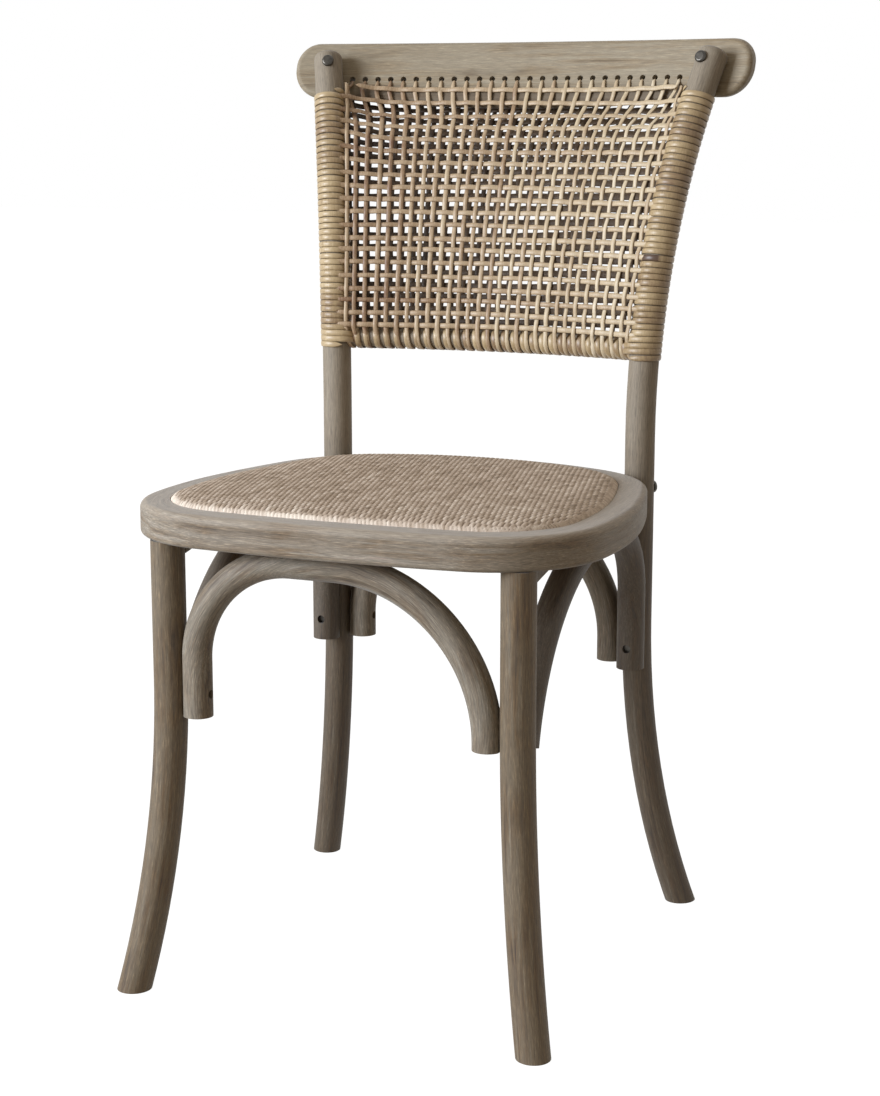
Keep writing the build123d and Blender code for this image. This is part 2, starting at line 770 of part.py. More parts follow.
def domed_bolt(front, out, length):
    """A bolt with a low domed head that sits at a point of the wood and faces out."""
    with BuildPart() as bolt:
        with Locations(Plane(origin=front, z_dir=out)):
            Cylinder(bolt_radius, length, align=(Align.CENTER, Align.CENTER, Align.MAX))
            Cylinder(
                bolt_head_radius, bolt_head_height, align=(Align.CENTER, Align.CENTER, Align.MIN)
            )
        fillet(bolt.faces().sort_by(Axis(front, out))[-1].edges(), radius=bolt_head_height * dome_share)
    return bolt.part


crest_bolt_length = (bolt_front - bolt_back).length + bolt_nut_height / 2
for side, name in ((-1, "left"), (1, "right")):
    front = bolt_front if side > 0 else flipped(bolt_front)
    out = bolt_out if side > 0 else flipped(bolt_out)
    back = bolt_back if side > 0 else flipped(bolt_back)
    with BuildPart() as crest_bolt:
        add(domed_bolt(front, out, crest_bolt_length))
    crest_bolt.part.label = "crest_bolt_" + name
    bolts.append(crest_bolt)
    with BuildPart() as crest_nut:
        with Locations(Plane(origin=back - out * bolt_clearance, z_dir=-out)):
            Cylinder(
                bolt_nut_radius, bolt_nut_height, align=(Align.CENTER, Align.CENTER, Align.MIN)
            )
            Cylinder(
                bolt_radius + bolt_clearance / 2,
                bolt_nut_height * 2 / 3,
                align=(Align.CENTER, Align.CENTER, Align.MIN),
                mode=Mode.SUBTRACT,
            )
        fillet(crest_nut.faces().sort_by(Axis(back, -out))[-1].edges(), radius=bolt_nut_height / 3)
    crest_nut.part.label = "crest_nut_" + name
    bolts.append(crest_nut)
    start = seat_bolt_start if side > 0 else flipped(seat_bolt_start)
    way = seat_bolt_way if side > 0 else flipped(seat_bolt_way)
    with BuildPart() as seat_bolt:
        add(domed_bolt(start, -way, post_radius + seat_bolt_reach))
    seat_bolt.part.label = "seat_bolt_" + name
    bolts.append(seat_bolt)
    with BuildPart() as barrel_nut:
        with Locations((side * barrel_place.X, barrel_place.Y, barrel_bottom_z)):
            Cylinder(
                barrel_nut_radius, barrel_nut_length, align=(Align.CENTER, Align.CENTER, Align.MIN)
            )
        with Locations(Plane(origin=start, z_dir=way)):
            Cylinder(
                bolt_radius + bolt_clearance / 2,
                post_radius + seat_bolt_reach + bolt_clearance,
                align=(Align.CENTER, Align.CENTER, Align.MIN),
                mode=Mode.SUBTRACT,
            )
    barrel_nut.part.label = "barrel_nut_" + name
    bolts.append(barrel_nut)


def winding_points(axis_at, first, pitch, turns, radius, steps):
    """Points of a winding round an axis, steps of them to a turn, from a first length along it."""
    points = []
    for step in range(turns * steps + 1):
        turned = step / steps
        middle, across, up = axis_at(first + pitch * turned)
        angle = 2 * pi * turned
        points.append(middle + across * (radius * cos(angle)) + up * (radius * sin(angle)))
    return points


def winding(axis_at, first, pitch, turns, radius, name):
    """One unbroken strand wound round a rod, each half turn a single arc."""
    corners = winding_points(axis_at, first, pitch, turns, radius, 4)
    samples = winding_points(axis_at, first, pitch, turns, radius, 24)
    gap = min(
        (samples[place] - samples[place + 24 + shift]).length - wrap_thickness
        for place in range(len(samples) - 26)
        for shift in (-2, -1, 0, 1, 2)
    )
    print(name, "winding of", turns, "turns, least gap to itself", round(gap, 2))
    with BuildLine() as strand_line:
        for place in range(0, 4 * turns, 2):
            ThreePointArc(corners[place], corners[place + 1], corners[place + 2])
    path = strand_line.wire()
    with BuildSketch(Plane(origin=corners[0], z_dir=path % 0)) as strand_section:
        Circle(wrap_thickness / 2)
    return sweep(sections=strand_section.sketch, path=path, mode=Mode.PRIVATE)


def post_turn_axis(length):
    """A place on the right post's upper bend, with the directions across and up its section."""
    angle = length / post_bend_radius
    towards = heading(post_upper_heading)
    across = Vector(0, 0, 1).cross(towards)
    start = Vector(post_x, post_y, post_upper_bend_z)
    offset = post_bend_radius * (1 - cos(angle))
    middle = start + towards * offset + Vector(0, 0, post_bend_radius * sin(angle))
    along = towards * sin(angle) + Vector(0, 0, cos(angle))
    return middle, across, along.cross(across)


def rail_turn_axis(length):
    """A place on the lower rail's bow, with the directions across and up its section."""
    angle = length / rail_bow_radius
    centre = Vector(0, rail_middle.Y - rail_bow_radius, rail_z)
    out = Vector(sin(angle), cos(angle), 0)
    return centre + out * rail_bow_radius, Vector(0, 0, 1), out


wrap_radius = post_radius + wrap_clearance + wrap_thickness / 2
wrap_start_z = rail_z + rail_radius + wrap_thickness + wrap_clearance + wrap_gap_length
wrap_first = post_bend_radius * asin((wrap_start_z - post_upper_bend_z) / post_bend_radius)

# Split rattan wound round the back posts, in two lengths that meet at a splice
wraps = []
for run, turns in enumerate(wrap_turns):
    first = wrap_first + sum(wrap_turns[:run]) * wrap_pitch + run * wrap_gap_length
    name = ("lower", "upper")[run]
    with BuildPart() as wrap_right:
        add(winding(post_turn_axis, first, wrap_pitch, turns, wrap_radius, name))
    wrap_right.part.label = "post_wrap_" + name + "_right"
    wraps.append(wrap_right)
    with BuildPart() as wrap_left:
        mirror(wrap_right.part, about=Plane.YZ)
    wrap_left.part.label = "post_wrap_" + name + "_left"
    wraps.append(wrap_left)

# Split rattan wound round the lower rail, in runs laid end to end
rail_wrap_radius = rail_radius + wrap_clearance + wrap_thickness / 2
rail_run = rail_wrap_turns * rail_wrap_pitch + wrap_gap_length
for run in range(rail_wrap_runs):
    first = (run - rail_wrap_runs / 2) * rail_run + wrap_gap_length / 2
    with BuildPart() as rail_wrap:
        add(winding(rail_turn_axis, first, rail_wrap_pitch, rail_wrap_turns, rail_wrap_radius, "rail"))
    rail_wrap.part.label = "rail_wrap_" + ("left", "middle", "right")[run]
    wraps.append(rail_wrap)


def sheet_ends(height, layer):
    """Where a layer of the woven back ends beside the right post, in front of or behind it."""
    middle, along = post_axis(height)
    reach = post_radius + wrap_clearance + wrap_thickness + sheet_clearance + strand_thickness / 2
    reach = reach / along.Z
    turn = radians(front_edge_angle if layer < 0 else rear_edge_angle)
    return Vector(middle.X - reach * cos(turn), middle.Y + layer * reach * sin(turn), height)


def sheet_middle(height, layer):
    """The middle of a layer of the woven back, at a height between the lower and crest rails."""
    clear = sheet_clearance + strand_thickness / 2
    low = rail_middle.Y + layer * (rail_radius + wrap_clearance + wrap_thickness + clear)
    lean = radians(crest_lean)
    if layer < 0:
        high = crest_y - clear / cos(lean)
    else:
        high = crest_y + (crest_thickness + clear) / cos(lean)
    crest_post = post_axis(crest_hole_z)[0].Y
    share = (post_axis(height)[0].Y - rail_end.Y) / (crest_post - rail_end.Y)
    return Vector(0, low + (high - low) * share, height)


def woven_sheet(layer, bottom, top):
    """One layer of the woven back: a bowed and fanned sheet with a grid of square gaps."""
    levels = [bottom + (top - bottom) * number / sheet_levels for number in range(sheet_levels + 1)]
    sections = []
    for level in levels:
        end = sheet_ends(level, layer)
        middle = sheet_middle(level, layer)
        half = Vector(0, strand_thickness / 2)
        with BuildSketch(Plane.XY.offset(level)) as section:
            with BuildLine():
                flat_end = Vector(end.X, end.Y)
                flat_middle = Vector(0, middle.Y)
                near = ThreePointArc(flipped(flat_end) - half, flat_middle - half, flat_end - half)
                far = ThreePointArc(flipped(flat_end) + half, flat_middle + half, flat_end + half)
                Line(near @ 0, far @ 0)
                Line(near @ 1, far @ 1)
            make_face()
        sections.append(section.sketch)
    loft(sections=sections)
    row_pitch = (top - bottom) / (gap_rows + 1 - gap_share)
    gap_places = []
    for row in range(gap_rows):
        level = bottom + row_pitch * (row + 1 - gap_share / 2)
        column_pitch = 2 * sheet_ends(level, layer).X / (gap_columns + 1 - gap_share)
        for column in range(gap_columns):
            gap_places.append((column_pitch * (column - (gap_columns - 1) / 2), crest_y, level))
    with Locations(*gap_places):
        Box(narrow_pitch * gap_share, crest_half_length, row_pitch * gap_share, mode=Mode.SUBTRACT)


narrow_pitch = 2 * sheet_ends(rail_z, -1).X / (gap_columns + 1 - gap_share)
front_top_z = crest_hole_z - hole_radius * 2
rear_top_z = crest_hole_z - crest_below_holes - crest_belly - strand_thickness

# The two woven layers of the back, in front of and behind the rails
with BuildPart() as front_weave:
    woven_sheet(-1, rail_z - rail_radius, front_top_z)
front_weave.part.label = "front_weave"

with BuildPart() as rear_weave:
    woven_sheet(1, rail_z - rail_radius, rear_top_z)
rear_weave.part.label = "rear_weave"
weaves = [front_weave, rear_weave]

os.makedirs("parts", exist_ok=True)
pieces = [
    seat_ring, seat_board, seat_padding, seat_weave, front_leg_left, front_leg_right,
    back_post_left, back_post_right, crest_rail, lower_back_rail, front_arch, rear_arch,
    left_arch, right_arch, corner_block_left, corner_block_right, arch_end_screws,
    arch_top_screws, seat_board_screws, corner_block_screws,
]
for piece in pieces + bolts + wraps + weaves:
    export_step(piece.part, "parts/" + piece.part.label + ".step")
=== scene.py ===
# Rattan chair: grey-washed bentwood frame, split rattan bindings, an open woven back in two
# layers, and a crowned woven seat. All lengths are metres; MM turns millimetres into them.
import math

import bmesh
import bpy
import numpy as np
from mathutils import Matrix, Vector
from mathutils.kdtree import KDTree


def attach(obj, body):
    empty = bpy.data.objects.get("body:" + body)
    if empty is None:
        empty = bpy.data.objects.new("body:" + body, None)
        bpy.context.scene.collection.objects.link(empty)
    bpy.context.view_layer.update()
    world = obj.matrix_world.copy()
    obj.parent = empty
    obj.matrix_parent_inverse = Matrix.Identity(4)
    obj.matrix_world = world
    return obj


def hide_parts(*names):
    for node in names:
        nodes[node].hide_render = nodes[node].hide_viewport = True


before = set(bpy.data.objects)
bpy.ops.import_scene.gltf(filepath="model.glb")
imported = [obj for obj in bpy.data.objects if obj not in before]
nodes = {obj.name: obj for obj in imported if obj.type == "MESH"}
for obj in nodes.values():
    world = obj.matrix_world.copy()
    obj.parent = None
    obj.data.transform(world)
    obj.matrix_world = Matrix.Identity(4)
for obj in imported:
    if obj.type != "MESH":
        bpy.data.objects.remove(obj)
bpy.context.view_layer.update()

MM = 0.001
dice = np.random.RandomState(11)

# Where the chair's main parts are, as in the part's own drawing
SEAT_Y, RING_TOP = -44.5 * MM, 463.5 * MM
RING_PLACES = ((0, -217), (130, -211), (229, -112), (223, 12), (200, 105), (128.5, 185.5))
POST_X, POST_Y, POST_RADIUS = 168.5 * MM, 133.5 * MM, 15 * MM
POST_BEND_RADIUS, POST_BEND_Z = 840 * MM, 500 * MM
POST_HEADING = math.radians(60)
RAIL_Z, RAIL_RADIUS, RAIL_MIDDLE_Y, RAIL_BOW_RADIUS = 588 * MM, 11 * MM, 164.5 * MM, 553.7 * MM
CREST_Y, CREST_HOLE_Z, CREST_BOW = 240.5 * MM, 855 * MM, 900 * MM
CREST_LEAN = math.radians(19)
CREST_THICKNESS = 19 * MM
HOLES, HOLE_PITCH = 28, 14.1 * MM

# Heights of the back's crosswise reeds at its middle, as they lie in the photograph
ROW_Z = np.array([843.5, 829.7, 816.0, 804.4, 792.2, 779.5, 767.7, 755.0, 743.2, 730.5,
                  717.9, 704.6, 691.0, 679.3, 666.4, 652.1, 639.1, 627.5, 614.5, 602.1]) * MM
UPRIGHT_HALF_WIDTH = {-1: 2.35 * MM, 1: 2.7 * MM}
CROSSER_HALF_WIDTH = {-1: 2.6 * MM, 1: 3.0 * MM}
REED_HALF_DEPTH, REED_FLATNESS = 0.95 * MM, 0.7
WEAVE_SWING = 1.0 * MM
BINDING_HALF_DEPTH = 0.9 * MM
BINDING_CLEARANCE = 0.1 * MM


def smooth_step(low, high, value):
    """Rises from 0 at low to 1 at high, which may lie either way round."""
    share = np.clip((value - low) / (high - low), 0, 1)
    return share * share * (3 - 2 * share)


def unit(vectors):
    return vectors / np.linalg.norm(vectors, axis=-1)[..., None]


def post_centre(z):
    """The right back post's centre line above the seat."""
    rise = np.maximum(z - POST_BEND_Z, 0)
    out = POST_BEND_RADIUS - np.sqrt(POST_BEND_RADIUS**2 - rise**2)
    return POST_X + math.cos(POST_HEADING) * out, POST_Y + math.sin(POST_HEADING) * out


def rail_centre_y(x):
    return RAIL_MIDDLE_Y - RAIL_BOW_RADIUS + np.sqrt(RAIL_BOW_RADIUS**2 - x**2)


def give(mesh, **attributes):
    """Stores a number for each vertex of a mesh, for its material to read."""
    for name, values in attributes.items():
        mesh.attributes.new(name, "FLOAT", "POINT").data.foreach_set(
            "value", np.ascontiguousarray(values, np.float32))


# A reed is a flat grid, rolled up round a line
def reed(line, facing, half_width, half_depth, tone, flatness, sides=8):
    """A reed along a line. facing points out of its flat side, and tone is its own shade."""
    count = len(line)
    bpy.ops.mesh.primitive_grid_add(x_subdivisions=sides, y_subdivisions=count - 1, size=2)
    made = bpy.context.active_object
    flat = np.empty(len(made.data.vertices) * 3)
    made.data.vertices.foreach_get("co", flat)
    flat = flat.reshape(-1, 3)
    way = unit(np.gradient(line, axis=0))
    side = unit(np.cross(facing, way))
    out = np.cross(way, side)
    place = np.rint((flat[:, 1] + 1) / 2 * (count - 1)).astype(int)
    # its ends are rounded off
    thin = np.ones(count)
    thin[[0, -1]] = 0.02
    thin[[1, -2]] = 0.75
    across, height = np.cos(math.pi * flat[:, 0]), np.sin(math.pi * flat[:, 0])
    wide = np.sign(across) * np.abs(across) ** flatness
    wide = wide * (np.broadcast_to(half_width, count) * thin)[place]
    high = height * (half_depth * thin)[place]
    moved = line[place] + side[place] * wide[:, None] + out[place] * high[:, None]
    made.data.vertices.foreach_set("co", moved.ravel())
    length = np.concatenate([[0], np.cumsum(np.linalg.norm(np.diff(line, axis=0), axis=1))])
    give(made.data, tone=np.broadcast_to(tone, count)[place], along=length[place], across=across)
    return made


def select_only(*chosen):
    bpy.ops.object.select_all(action="DESELECT")
    for each in chosen:
        each.select_set(True)
    bpy.context.view_layer.objects.active = chosen[0]


def gathered(name, reeds):
    """Joins reeds into one piece with closed seams and ends, in place at the origin."""
    select_only(*reeds)
    bpy.ops.object.join()
    made = bpy.context.active_object
    made.name = name
    bpy.ops.object.mode_set(mode="EDIT")
    bpy.ops.mesh.select_all(action="SELECT")
    bpy.ops.mesh.remove_doubles(threshold=1e-6)
    bpy.ops.mesh.normals_make_consistent(inside=False)
    bpy.ops.object.mode_set(mode="OBJECT")
    bpy.ops.object.shade_smooth()
    return made


# The woven back's surface: across from -1 to 1 between the posts, layer -1 in front and 1 behind
EDGE_ANGLES = {-1: (42, 12), 1: (72, 62)}
EDGE_LOW_Z, EDGE_HIGH_Z = 600 * MM, 841 * MM
EDGE_REACH = POST_RADIUS + 3.6 * MM
BOARD_EDGE_Z = (795 * MM, 828 * MM)
SHEET_OFF_BOARD, SHEET_OFF_RAIL = 2.1 * MM, 13.1 * MM


def edge_angle(layer, z):
    """Where on the post's round a layer ends, from straight inwards towards its own side."""
    share = np.clip((z - EDGE_LOW_Z) / (EDGE_HIGH_Z - EDGE_LOW_Z), 0, 1)
    low, high = EDGE_ANGLES[layer]
    return np.radians(low + (high - low) * share)


def sheet_point(layer, across, z):
    post_x, post_y = post_centre(z)
    turn = edge_angle(layer, z)
    edge_x = post_x - EDGE_REACH * np.cos(turn)
    edge_y = post_y + layer * EDGE_REACH * np.sin(turn)
    rail_post_y = post_centre(RAIL_Z)[1]
    share = (post_y - rail_post_y) / (post_centre(CREST_HOLE_Z)[1] - rail_post_y)
    back = 0 if layer < 0 else CREST_THICKNESS
    high = CREST_Y + (back + layer * SHEET_OFF_BOARD) / math.cos(CREST_LEAN)
    low = RAIL_MIDDLE_Y + layer * SHEET_OFF_RAIL
    free = low + (high - low) * share
    board = high + (z - CREST_HOLE_Z) * math.tan(CREST_LEAN)
    on_board = smooth_step(*BOARD_EDGE_Z, z)
    middle = free + (board - free) * on_board
    bow = edge_x**2 / (2 * CREST_BOW) * on_board + (middle - edge_y) * (1 - on_board)
    y = middle - bow * across**2 - (middle - edge_y - bow) * np.abs(across) ** 8
    return np.stack([edge_x * across, y, z + 0 * across], axis=-1)


def sheet_facing(layer, across, z):
    small, step = 0.002, 0.5 * MM
    along_x = sheet_point(layer, across + small, z) - sheet_point(layer, across - small, z)
    along_z = sheet_point(layer, across, z + step) - sheet_point(layer, across, z - step)
    return unit(np.cross(along_x, along_z)) * -layer


def board_point(angle, z, out_by):
    """A point some way out of the crest board's front face, or behind it if out_by is negative,
    and the direction out of that face."""
    radius = CREST_BOW + (z - CREST_HOLE_Z) * math.tan(CREST_LEAN)
    back = np.array([math.sin(angle), math.cos(angle), 0])
    out = np.array([0, 0, math.sin(CREST_LEAN)]) - back * math.cos(CREST_LEAN)
    return np.array([0, CREST_Y - CREST_BOW, z]) + back * radius + out * out_by, out


# One upright hangs from each hole and one beside each post. Half the back's width holds 14.45 of
# the holes' spaces.
HALF_WIDTH_IN_PITCHES, PLACE_BESIDE_POST = 14.45, 0.985
UPRIGHT_PLACES = np.concatenate([
    [-PLACE_BESIDE_POST], (np.arange(HOLES) - (HOLES - 1) / 2) / HALF_WIDTH_IN_PITCHES,
    [PLACE_BESIDE_POST]])
UPRIGHT_STEPS, CROSSER_STEPS = 4, 4
UPRIGHT_TOP = {-1: 846 * MM, 1: 838 * MM}
FIRST_ROW = {-1: 0, 1: 2}
NEAR_POST_SHARE = 0.95
OFF_BOARD_Z = 800 * MM
# Heights of an upright's last points on the sheet, just above the lower rail
RAIL_APPROACH = [RAIL_Z + 10.5 * MM, RAIL_Z + 7 * MM]
# Its swing over and under the crosswise reeds fades out this close to its two ends
SETTLE_HIGH, SETTLE_LOW = 6 * MM, 5 * MM
REAR_SHIFT_SHARE = 0.028
REAR_CHANGE_Z = (780 * MM, 730 * MM)
# Down to the fifth row the crosswise reeds rise towards the posts, and from the eleventh none does
LAST_RISING_ROW, FIRST_LEVEL_ROW = 4, 10
ROW_RISE_LEFT, ROW_RISE_RIGHT = 9 * MM, 3 * MM
REAR_LIFT_LOW, REAR_LIFT_HIGH, REAR_LIFT_Z = 2.3 * MM, 6.0 * MM, (700 * MM, 812 * MM)
REAR_SLOPE_LEFT, REAR_SLOPE_RIGHT = 1.4 * MM, 5.2 * MM


def row_level(layer, row, across):
    """A crosswise reed rises towards the posts near the crest, more so on the left. Those of the
    layer behind lie higher, and highest on the right and near the crest."""
    near_crest = np.clip((FIRST_LEVEL_ROW - row) / (FIRST_LEVEL_ROW - LAST_RISING_ROW), 0, 1)
    rise = near_crest * np.where(across < 0, ROW_RISE_LEFT, ROW_RISE_RIGHT) * np.abs(across) ** 7
    if layer < 0:
        return ROW_Z[row] + rise
    near_top = smooth_step(*REAR_LIFT_Z, ROW_Z[row])
    lift = REAR_LIFT_LOW + (REAR_LIFT_HIGH - REAR_LIFT_LOW) * near_top
    slope = np.where(across < 0, REAR_SLOPE_LEFT, REAR_SLOPE_RIGHT) * (1 - near_top)
    return ROW_Z[row] + rise + lift + slope * across


def askew(across, levels):
    """How much, from 0 to 1, a reed of the layer behind hangs askew, so that it fills gaps of the
    layer in front: near the crest most do, and lower down those left of the middle and towards
    the right."""
    before_post = smooth_step(1.0, 0.85, across)
    high = smooth_step(-0.7, 0.1, across) * before_post
    low = smooth_step(-0.55, -0.4, across) * smooth_step(-0.12, -0.25, across)
    low += smooth_step(0.28, 0.48, across) * before_post
    low += 0.5 * smooth_step(-0.5, -0.75, across)
    share = high + (low - high) * smooth_step(*REAR_CHANGE_Z, levels)
    return share * smooth_step(UPRIGHT_TOP[1], OFF_BOARD_Z, levels)


def reed_tone(across, spread):
    """Reeds on the left of the back are darker and redder than those on the right."""
    return float(np.clip(0.5 + 0.3 * across + dice.normal(0, spread), 0, 1))


# How far below its hole's middle and how deep inside the board an upright reed's first points
# lie, and its half widths there
HOLE_EXIT = ((1.3 * MM, 8 * MM), (1.5 * MM, 3.5 * MM), (2.0 * MM, 0.6 * MM),
             (3.6 * MM, -0.9 * MM), (5.6 * MM, -1.3 * MM))
HOLE_EXIT_HALF_WIDTHS = np.array([1.2, 1.2, 1.25, 1.6, 1.95]) * MM


def out_of_hole(layer, hole):
    """The start of an upright reed, out of the lower part of its hole and down the board."""
    angle = (hole - (HOLES - 1) / 2) * HOLE_PITCH / CREST_BOW
    face = 0 if layer < 0 else -CREST_THICKNESS
    drop = 0 if layer < 0 else CREST_THICKNESS * math.sin(CREST_LEAN)
    points, facing = [], []
    for below, inside in HOLE_EXIT:
        point, out = board_point(angle, CREST_HOLE_Z - below, face + layer * inside)
        points.append(point - [0, 0, drop])
        facing.append([0, 0, 1] - 0.3 * layer * out if inside > 0 else out * -layer)
    return np.array(points), unit(np.array(facing))


RAIL_END_ANGLES, RAIL_END_STEPS = (-12, 104), 10
RAIL_END_HALF_WIDTH = 2.6 * MM


def round_the_rail(layer, x):
    """The end of an upright reed, down the lower rail's face and slanting on round under it, as
    one of its turns."""
    turns = np.radians(np.linspace(*RAIL_END_ANGLES, RAIL_END_STEPS))
    xs = x + RAIL_SLANT * (turns - turns[0]) / math.pi
    reach = RAIL_RADIUS + BINDING_CLEARANCE + REED_HALF_DEPTH
    points = np.stack([xs, rail_centre_y(xs) + layer * reach * np.cos(turns),
                       RAIL_Z - reach * np.sin(turns)], axis=-1)
    return points, np.stack([0 * turns, layer * np.cos(turns), -np.sin(turns)], axis=-1)


def upright(layer, number):
    """An upright reed. It comes out of its hole in the crest board, hangs down over and under the
    crosswise reeds and goes round the lower rail."""
    across, top = UPRIGHT_PLACES[number], UPRIGHT_TOP[layer]
    rows = row_level(layer, np.arange(FIRST_ROW[layer], len(ROW_Z)), across)
    levels = [top]
    for high, low in zip([top, *rows], rows):
        levels += [high + (low - high) * part / UPRIGHT_STEPS for part in range(1, UPRIGHT_STEPS + 1)]
    levels = np.array(levels + RAIL_APPROACH)
    shift = dice.uniform(-0.006, 0.006) * np.sin(np.linspace(0, 3, len(levels)))
    if layer > 0:
        shift = shift - REAR_SHIFT_SHARE * askew(across, levels)
    place = across + shift * (abs(across) < NEAR_POST_SHARE)
    over = np.cos(math.pi * (number + FIRST_ROW[layer] + np.interp(
        levels, rows[::-1], np.arange(len(rows))[::-1].astype(float))))
    settle = np.clip((top - levels) / SETTLE_HIGH, 0, 1)
    settle = settle * np.clip((levels - levels[-1]) / SETTLE_LOW, 0, 1)
    facing = sheet_facing(layer, place, levels)
    line = sheet_point(layer, place, levels) + facing * (WEAVE_SWING * over * settle)[:, None]
    end, end_facing = round_the_rail(layer, line[-1, 0])
    line, facing = np.concatenate([line[:-1], end]), np.concatenate([facing[:-1], end_facing])
    width = np.full(len(line), UPRIGHT_HALF_WIDTH[layer] * dice.uniform(0.92, 1.1))
    width[1 - RAIL_END_STEPS:] = RAIL_END_HALF_WIDTH
    hole = number - 1
    if 0 <= hole < HOLES:
        start, start_facing = out_of_hole(layer, hole)
        line[:, 0] += (start[-1, 0] - line[0, 0]) * smooth_step(OFF_BOARD_Z, top, line[:, 2])
        line, facing = np.concatenate([start, line]), np.concatenate([start_facing, facing])
        width = np.concatenate([HOLE_EXIT_HALF_WIDTHS, width])
    return reed(line, facing, width, REED_HALF_DEPTH, reed_tone(across, 0.12), REED_FLATNESS)


# Where a crosswise reed's end goes in under a post's binding: on round the post and inwards
TUCK_TURNS = np.radians([7, 15, 24, 36])
TUCK_REACH = POST_RADIUS + np.array([2.4, 1.2, 0.0, -1.4]) * MM


def tucked_end(layer, side, z):
    post_x, post_y = post_centre(z)
    turns = float(edge_angle(layer, z)) + TUCK_TURNS
    points = np.stack([side * (post_x - TUCK_REACH * np.cos(turns)),
                       post_y + layer * TUCK_REACH * np.sin(turns), z + 0 * turns], axis=-1)
    return points, np.stack([-side * np.cos(turns), layer * np.sin(turns), 0 * turns], axis=-1)


def crosser(layer, row):
    """A crosswise reed. It goes over and under the uprights and ends under the posts' bindings,
    but the top one, which lies on the crest board, stops at the last uprights."""
    gaps = zip(UPRIGHT_PLACES, UPRIGHT_PLACES[1:])
    steps = [np.linspace(low, high, CROSSER_STEPS + 1)[:-1] for low, high in gaps]
    across = np.concatenate(steps + [UPRIGHT_PLACES[-1:]])
    if row == 0:
        across = across[np.abs(across) < NEAR_POST_SHARE]
    index = np.interp(across, UPRIGHT_PLACES, np.arange(len(UPRIGHT_PLACES)).astype(float))
    wave = 0.5 * MM * np.sin(across * dice.uniform(2, 6) + dice.uniform(0, 6))
    z = row_level(layer, row, across) + wave
    over = -np.cos(math.pi * (index + row)) * np.clip((1.0 - np.abs(across)) / 0.05, 0, 1)
    facing = sheet_facing(layer, across, z)
    line = sheet_point(layer, across, z) + facing * (WEAVE_SWING * over)[:, None]
    if row > 0:
        left, left_facing = tucked_end(layer, -1, z[0])
        right, right_facing = tucked_end(layer, 1, z[-1])
        line = np.concatenate([left[::-1], line, right])
        facing = np.concatenate([left_facing[::-1], facing, right_facing])
    width = CROSSER_HALF_WIDTH[layer] * dice.uniform(0.94, 1.08)
    rightwards = line[:, 0] / POST_X
    if layer > 0:
        width = width * (1 + 0.3 * smooth_step(0, 0.8, rightwards))
    tone = np.clip(reed_tone(0, 0.07) + 0.2 * rightwards, 0, 1)
    return reed(line, facing, width, REED_HALF_DEPTH, tone, REED_FLATNESS)


def woven_layer(name, layer):
    reeds = [upright(layer, number) for number in range(len(UPRIGHT_PLACES))]
    reeds += [crosser(layer, row) for row in range(FIRST_ROW[layer], len(ROW_Z))]
    return gathered(name, reeds)


# Split rattan wound round the posts and the lower rail
POST_TURNS, BINDING_LOW_Z, BINDING_HIGH_Z = 43, 578.5 * MM, 839 * MM
BINDING_STEPS, BINDING_START_ANGLE = 24, 0.8
BINDING_PITCH_SPREAD, BINDING_WIDTH_SPREAD = 0.2 * MM, 0.04
BINDING_TONES = (0.3, 0.75)
# On the right post a spliced strand ends in a dark knot and leaves a narrow gap
KNOT_TURN, KNOT_HALF_LENGTH, KNOT_GAP = 16.09, 0.09, 0.9 * MM
RAIL_END_TURNS, RAIL_END_BULGE = 3.4, 5.5 * MM
BINDING_SQUARENESS = 0.62
POST_BINDING_HALF_WIDTH, RAIL_BINDING_HALF_WIDTH = 3.0 * MM, 3.3 * MM
RAIL_SLANT = 4.5 * MM


def post_binding(name, sign):
    turn = np.linspace(0, POST_TURNS, POST_TURNS * BINDING_STEPS + 1)
    knots = np.arange(POST_TURNS + 1)
    uneven = np.interp(turn, knots, dice.normal(0, BINDING_PITCH_SPREAD, POST_TURNS + 1))
    if sign > 0:
        gap = smooth_step(0.11, 0.51, turn - KNOT_TURN) - smooth_step(0.81, 2.41, turn - KNOT_TURN)
        uneven += KNOT_GAP * gap
    z = BINDING_LOW_Z + (BINDING_HIGH_Z - BINDING_LOW_Z) * turn / POST_TURNS + uneven
    x, y = post_centre(z)
    lean = np.arcsin(np.maximum(z - POST_BEND_Z, 0) / POST_BEND_RADIUS)[:, None]
    heading = np.array([math.cos(POST_HEADING), math.sin(POST_HEADING), 0])
    way = np.sin(lean) * heading + np.cos(lean) * np.array([0, 0, 1])
    side = unit(np.cross(way, [0, 1, 0]))
    angle = (turn * 2 * math.pi + BINDING_START_ANGLE)[:, None]
    around = np.cos(angle) * side + np.sin(angle) * np.cross(way, side)
    # the lowest turns go round the end of the lower rail as well
    low_down = np.clip((RAIL_END_TURNS - turn) / 0.6, 0, 1)
    over_rail = low_down * np.clip(-around[:, 0], 0, 1) ** 2 * RAIL_END_BULGE
    reach = POST_RADIUS + BINDING_CLEARANCE + BINDING_HALF_DEPTH + over_rail
    line = np.stack([x, y, z], axis=-1) + around * reach[:, None]
    wider = np.interp(turn, knots, dice.normal(0, BINDING_WIDTH_SPREAD, POST_TURNS + 1))
    width = POST_BINDING_HALF_WIDTH * (1 + wider)
    tone = np.interp(turn, knots[::2], dice.uniform(*BINDING_TONES, len(knots[::2])))
    if sign > 0:
        tone = np.where(np.abs(turn - KNOT_TURN) < KNOT_HALF_LENGTH, 0.0, tone)
    line[:, 0] *= sign
    around[:, 0] *= sign
    return gathered(name, [reed(line, around, width, BINDING_HALF_DEPTH, tone, BINDING_SQUARENESS)])


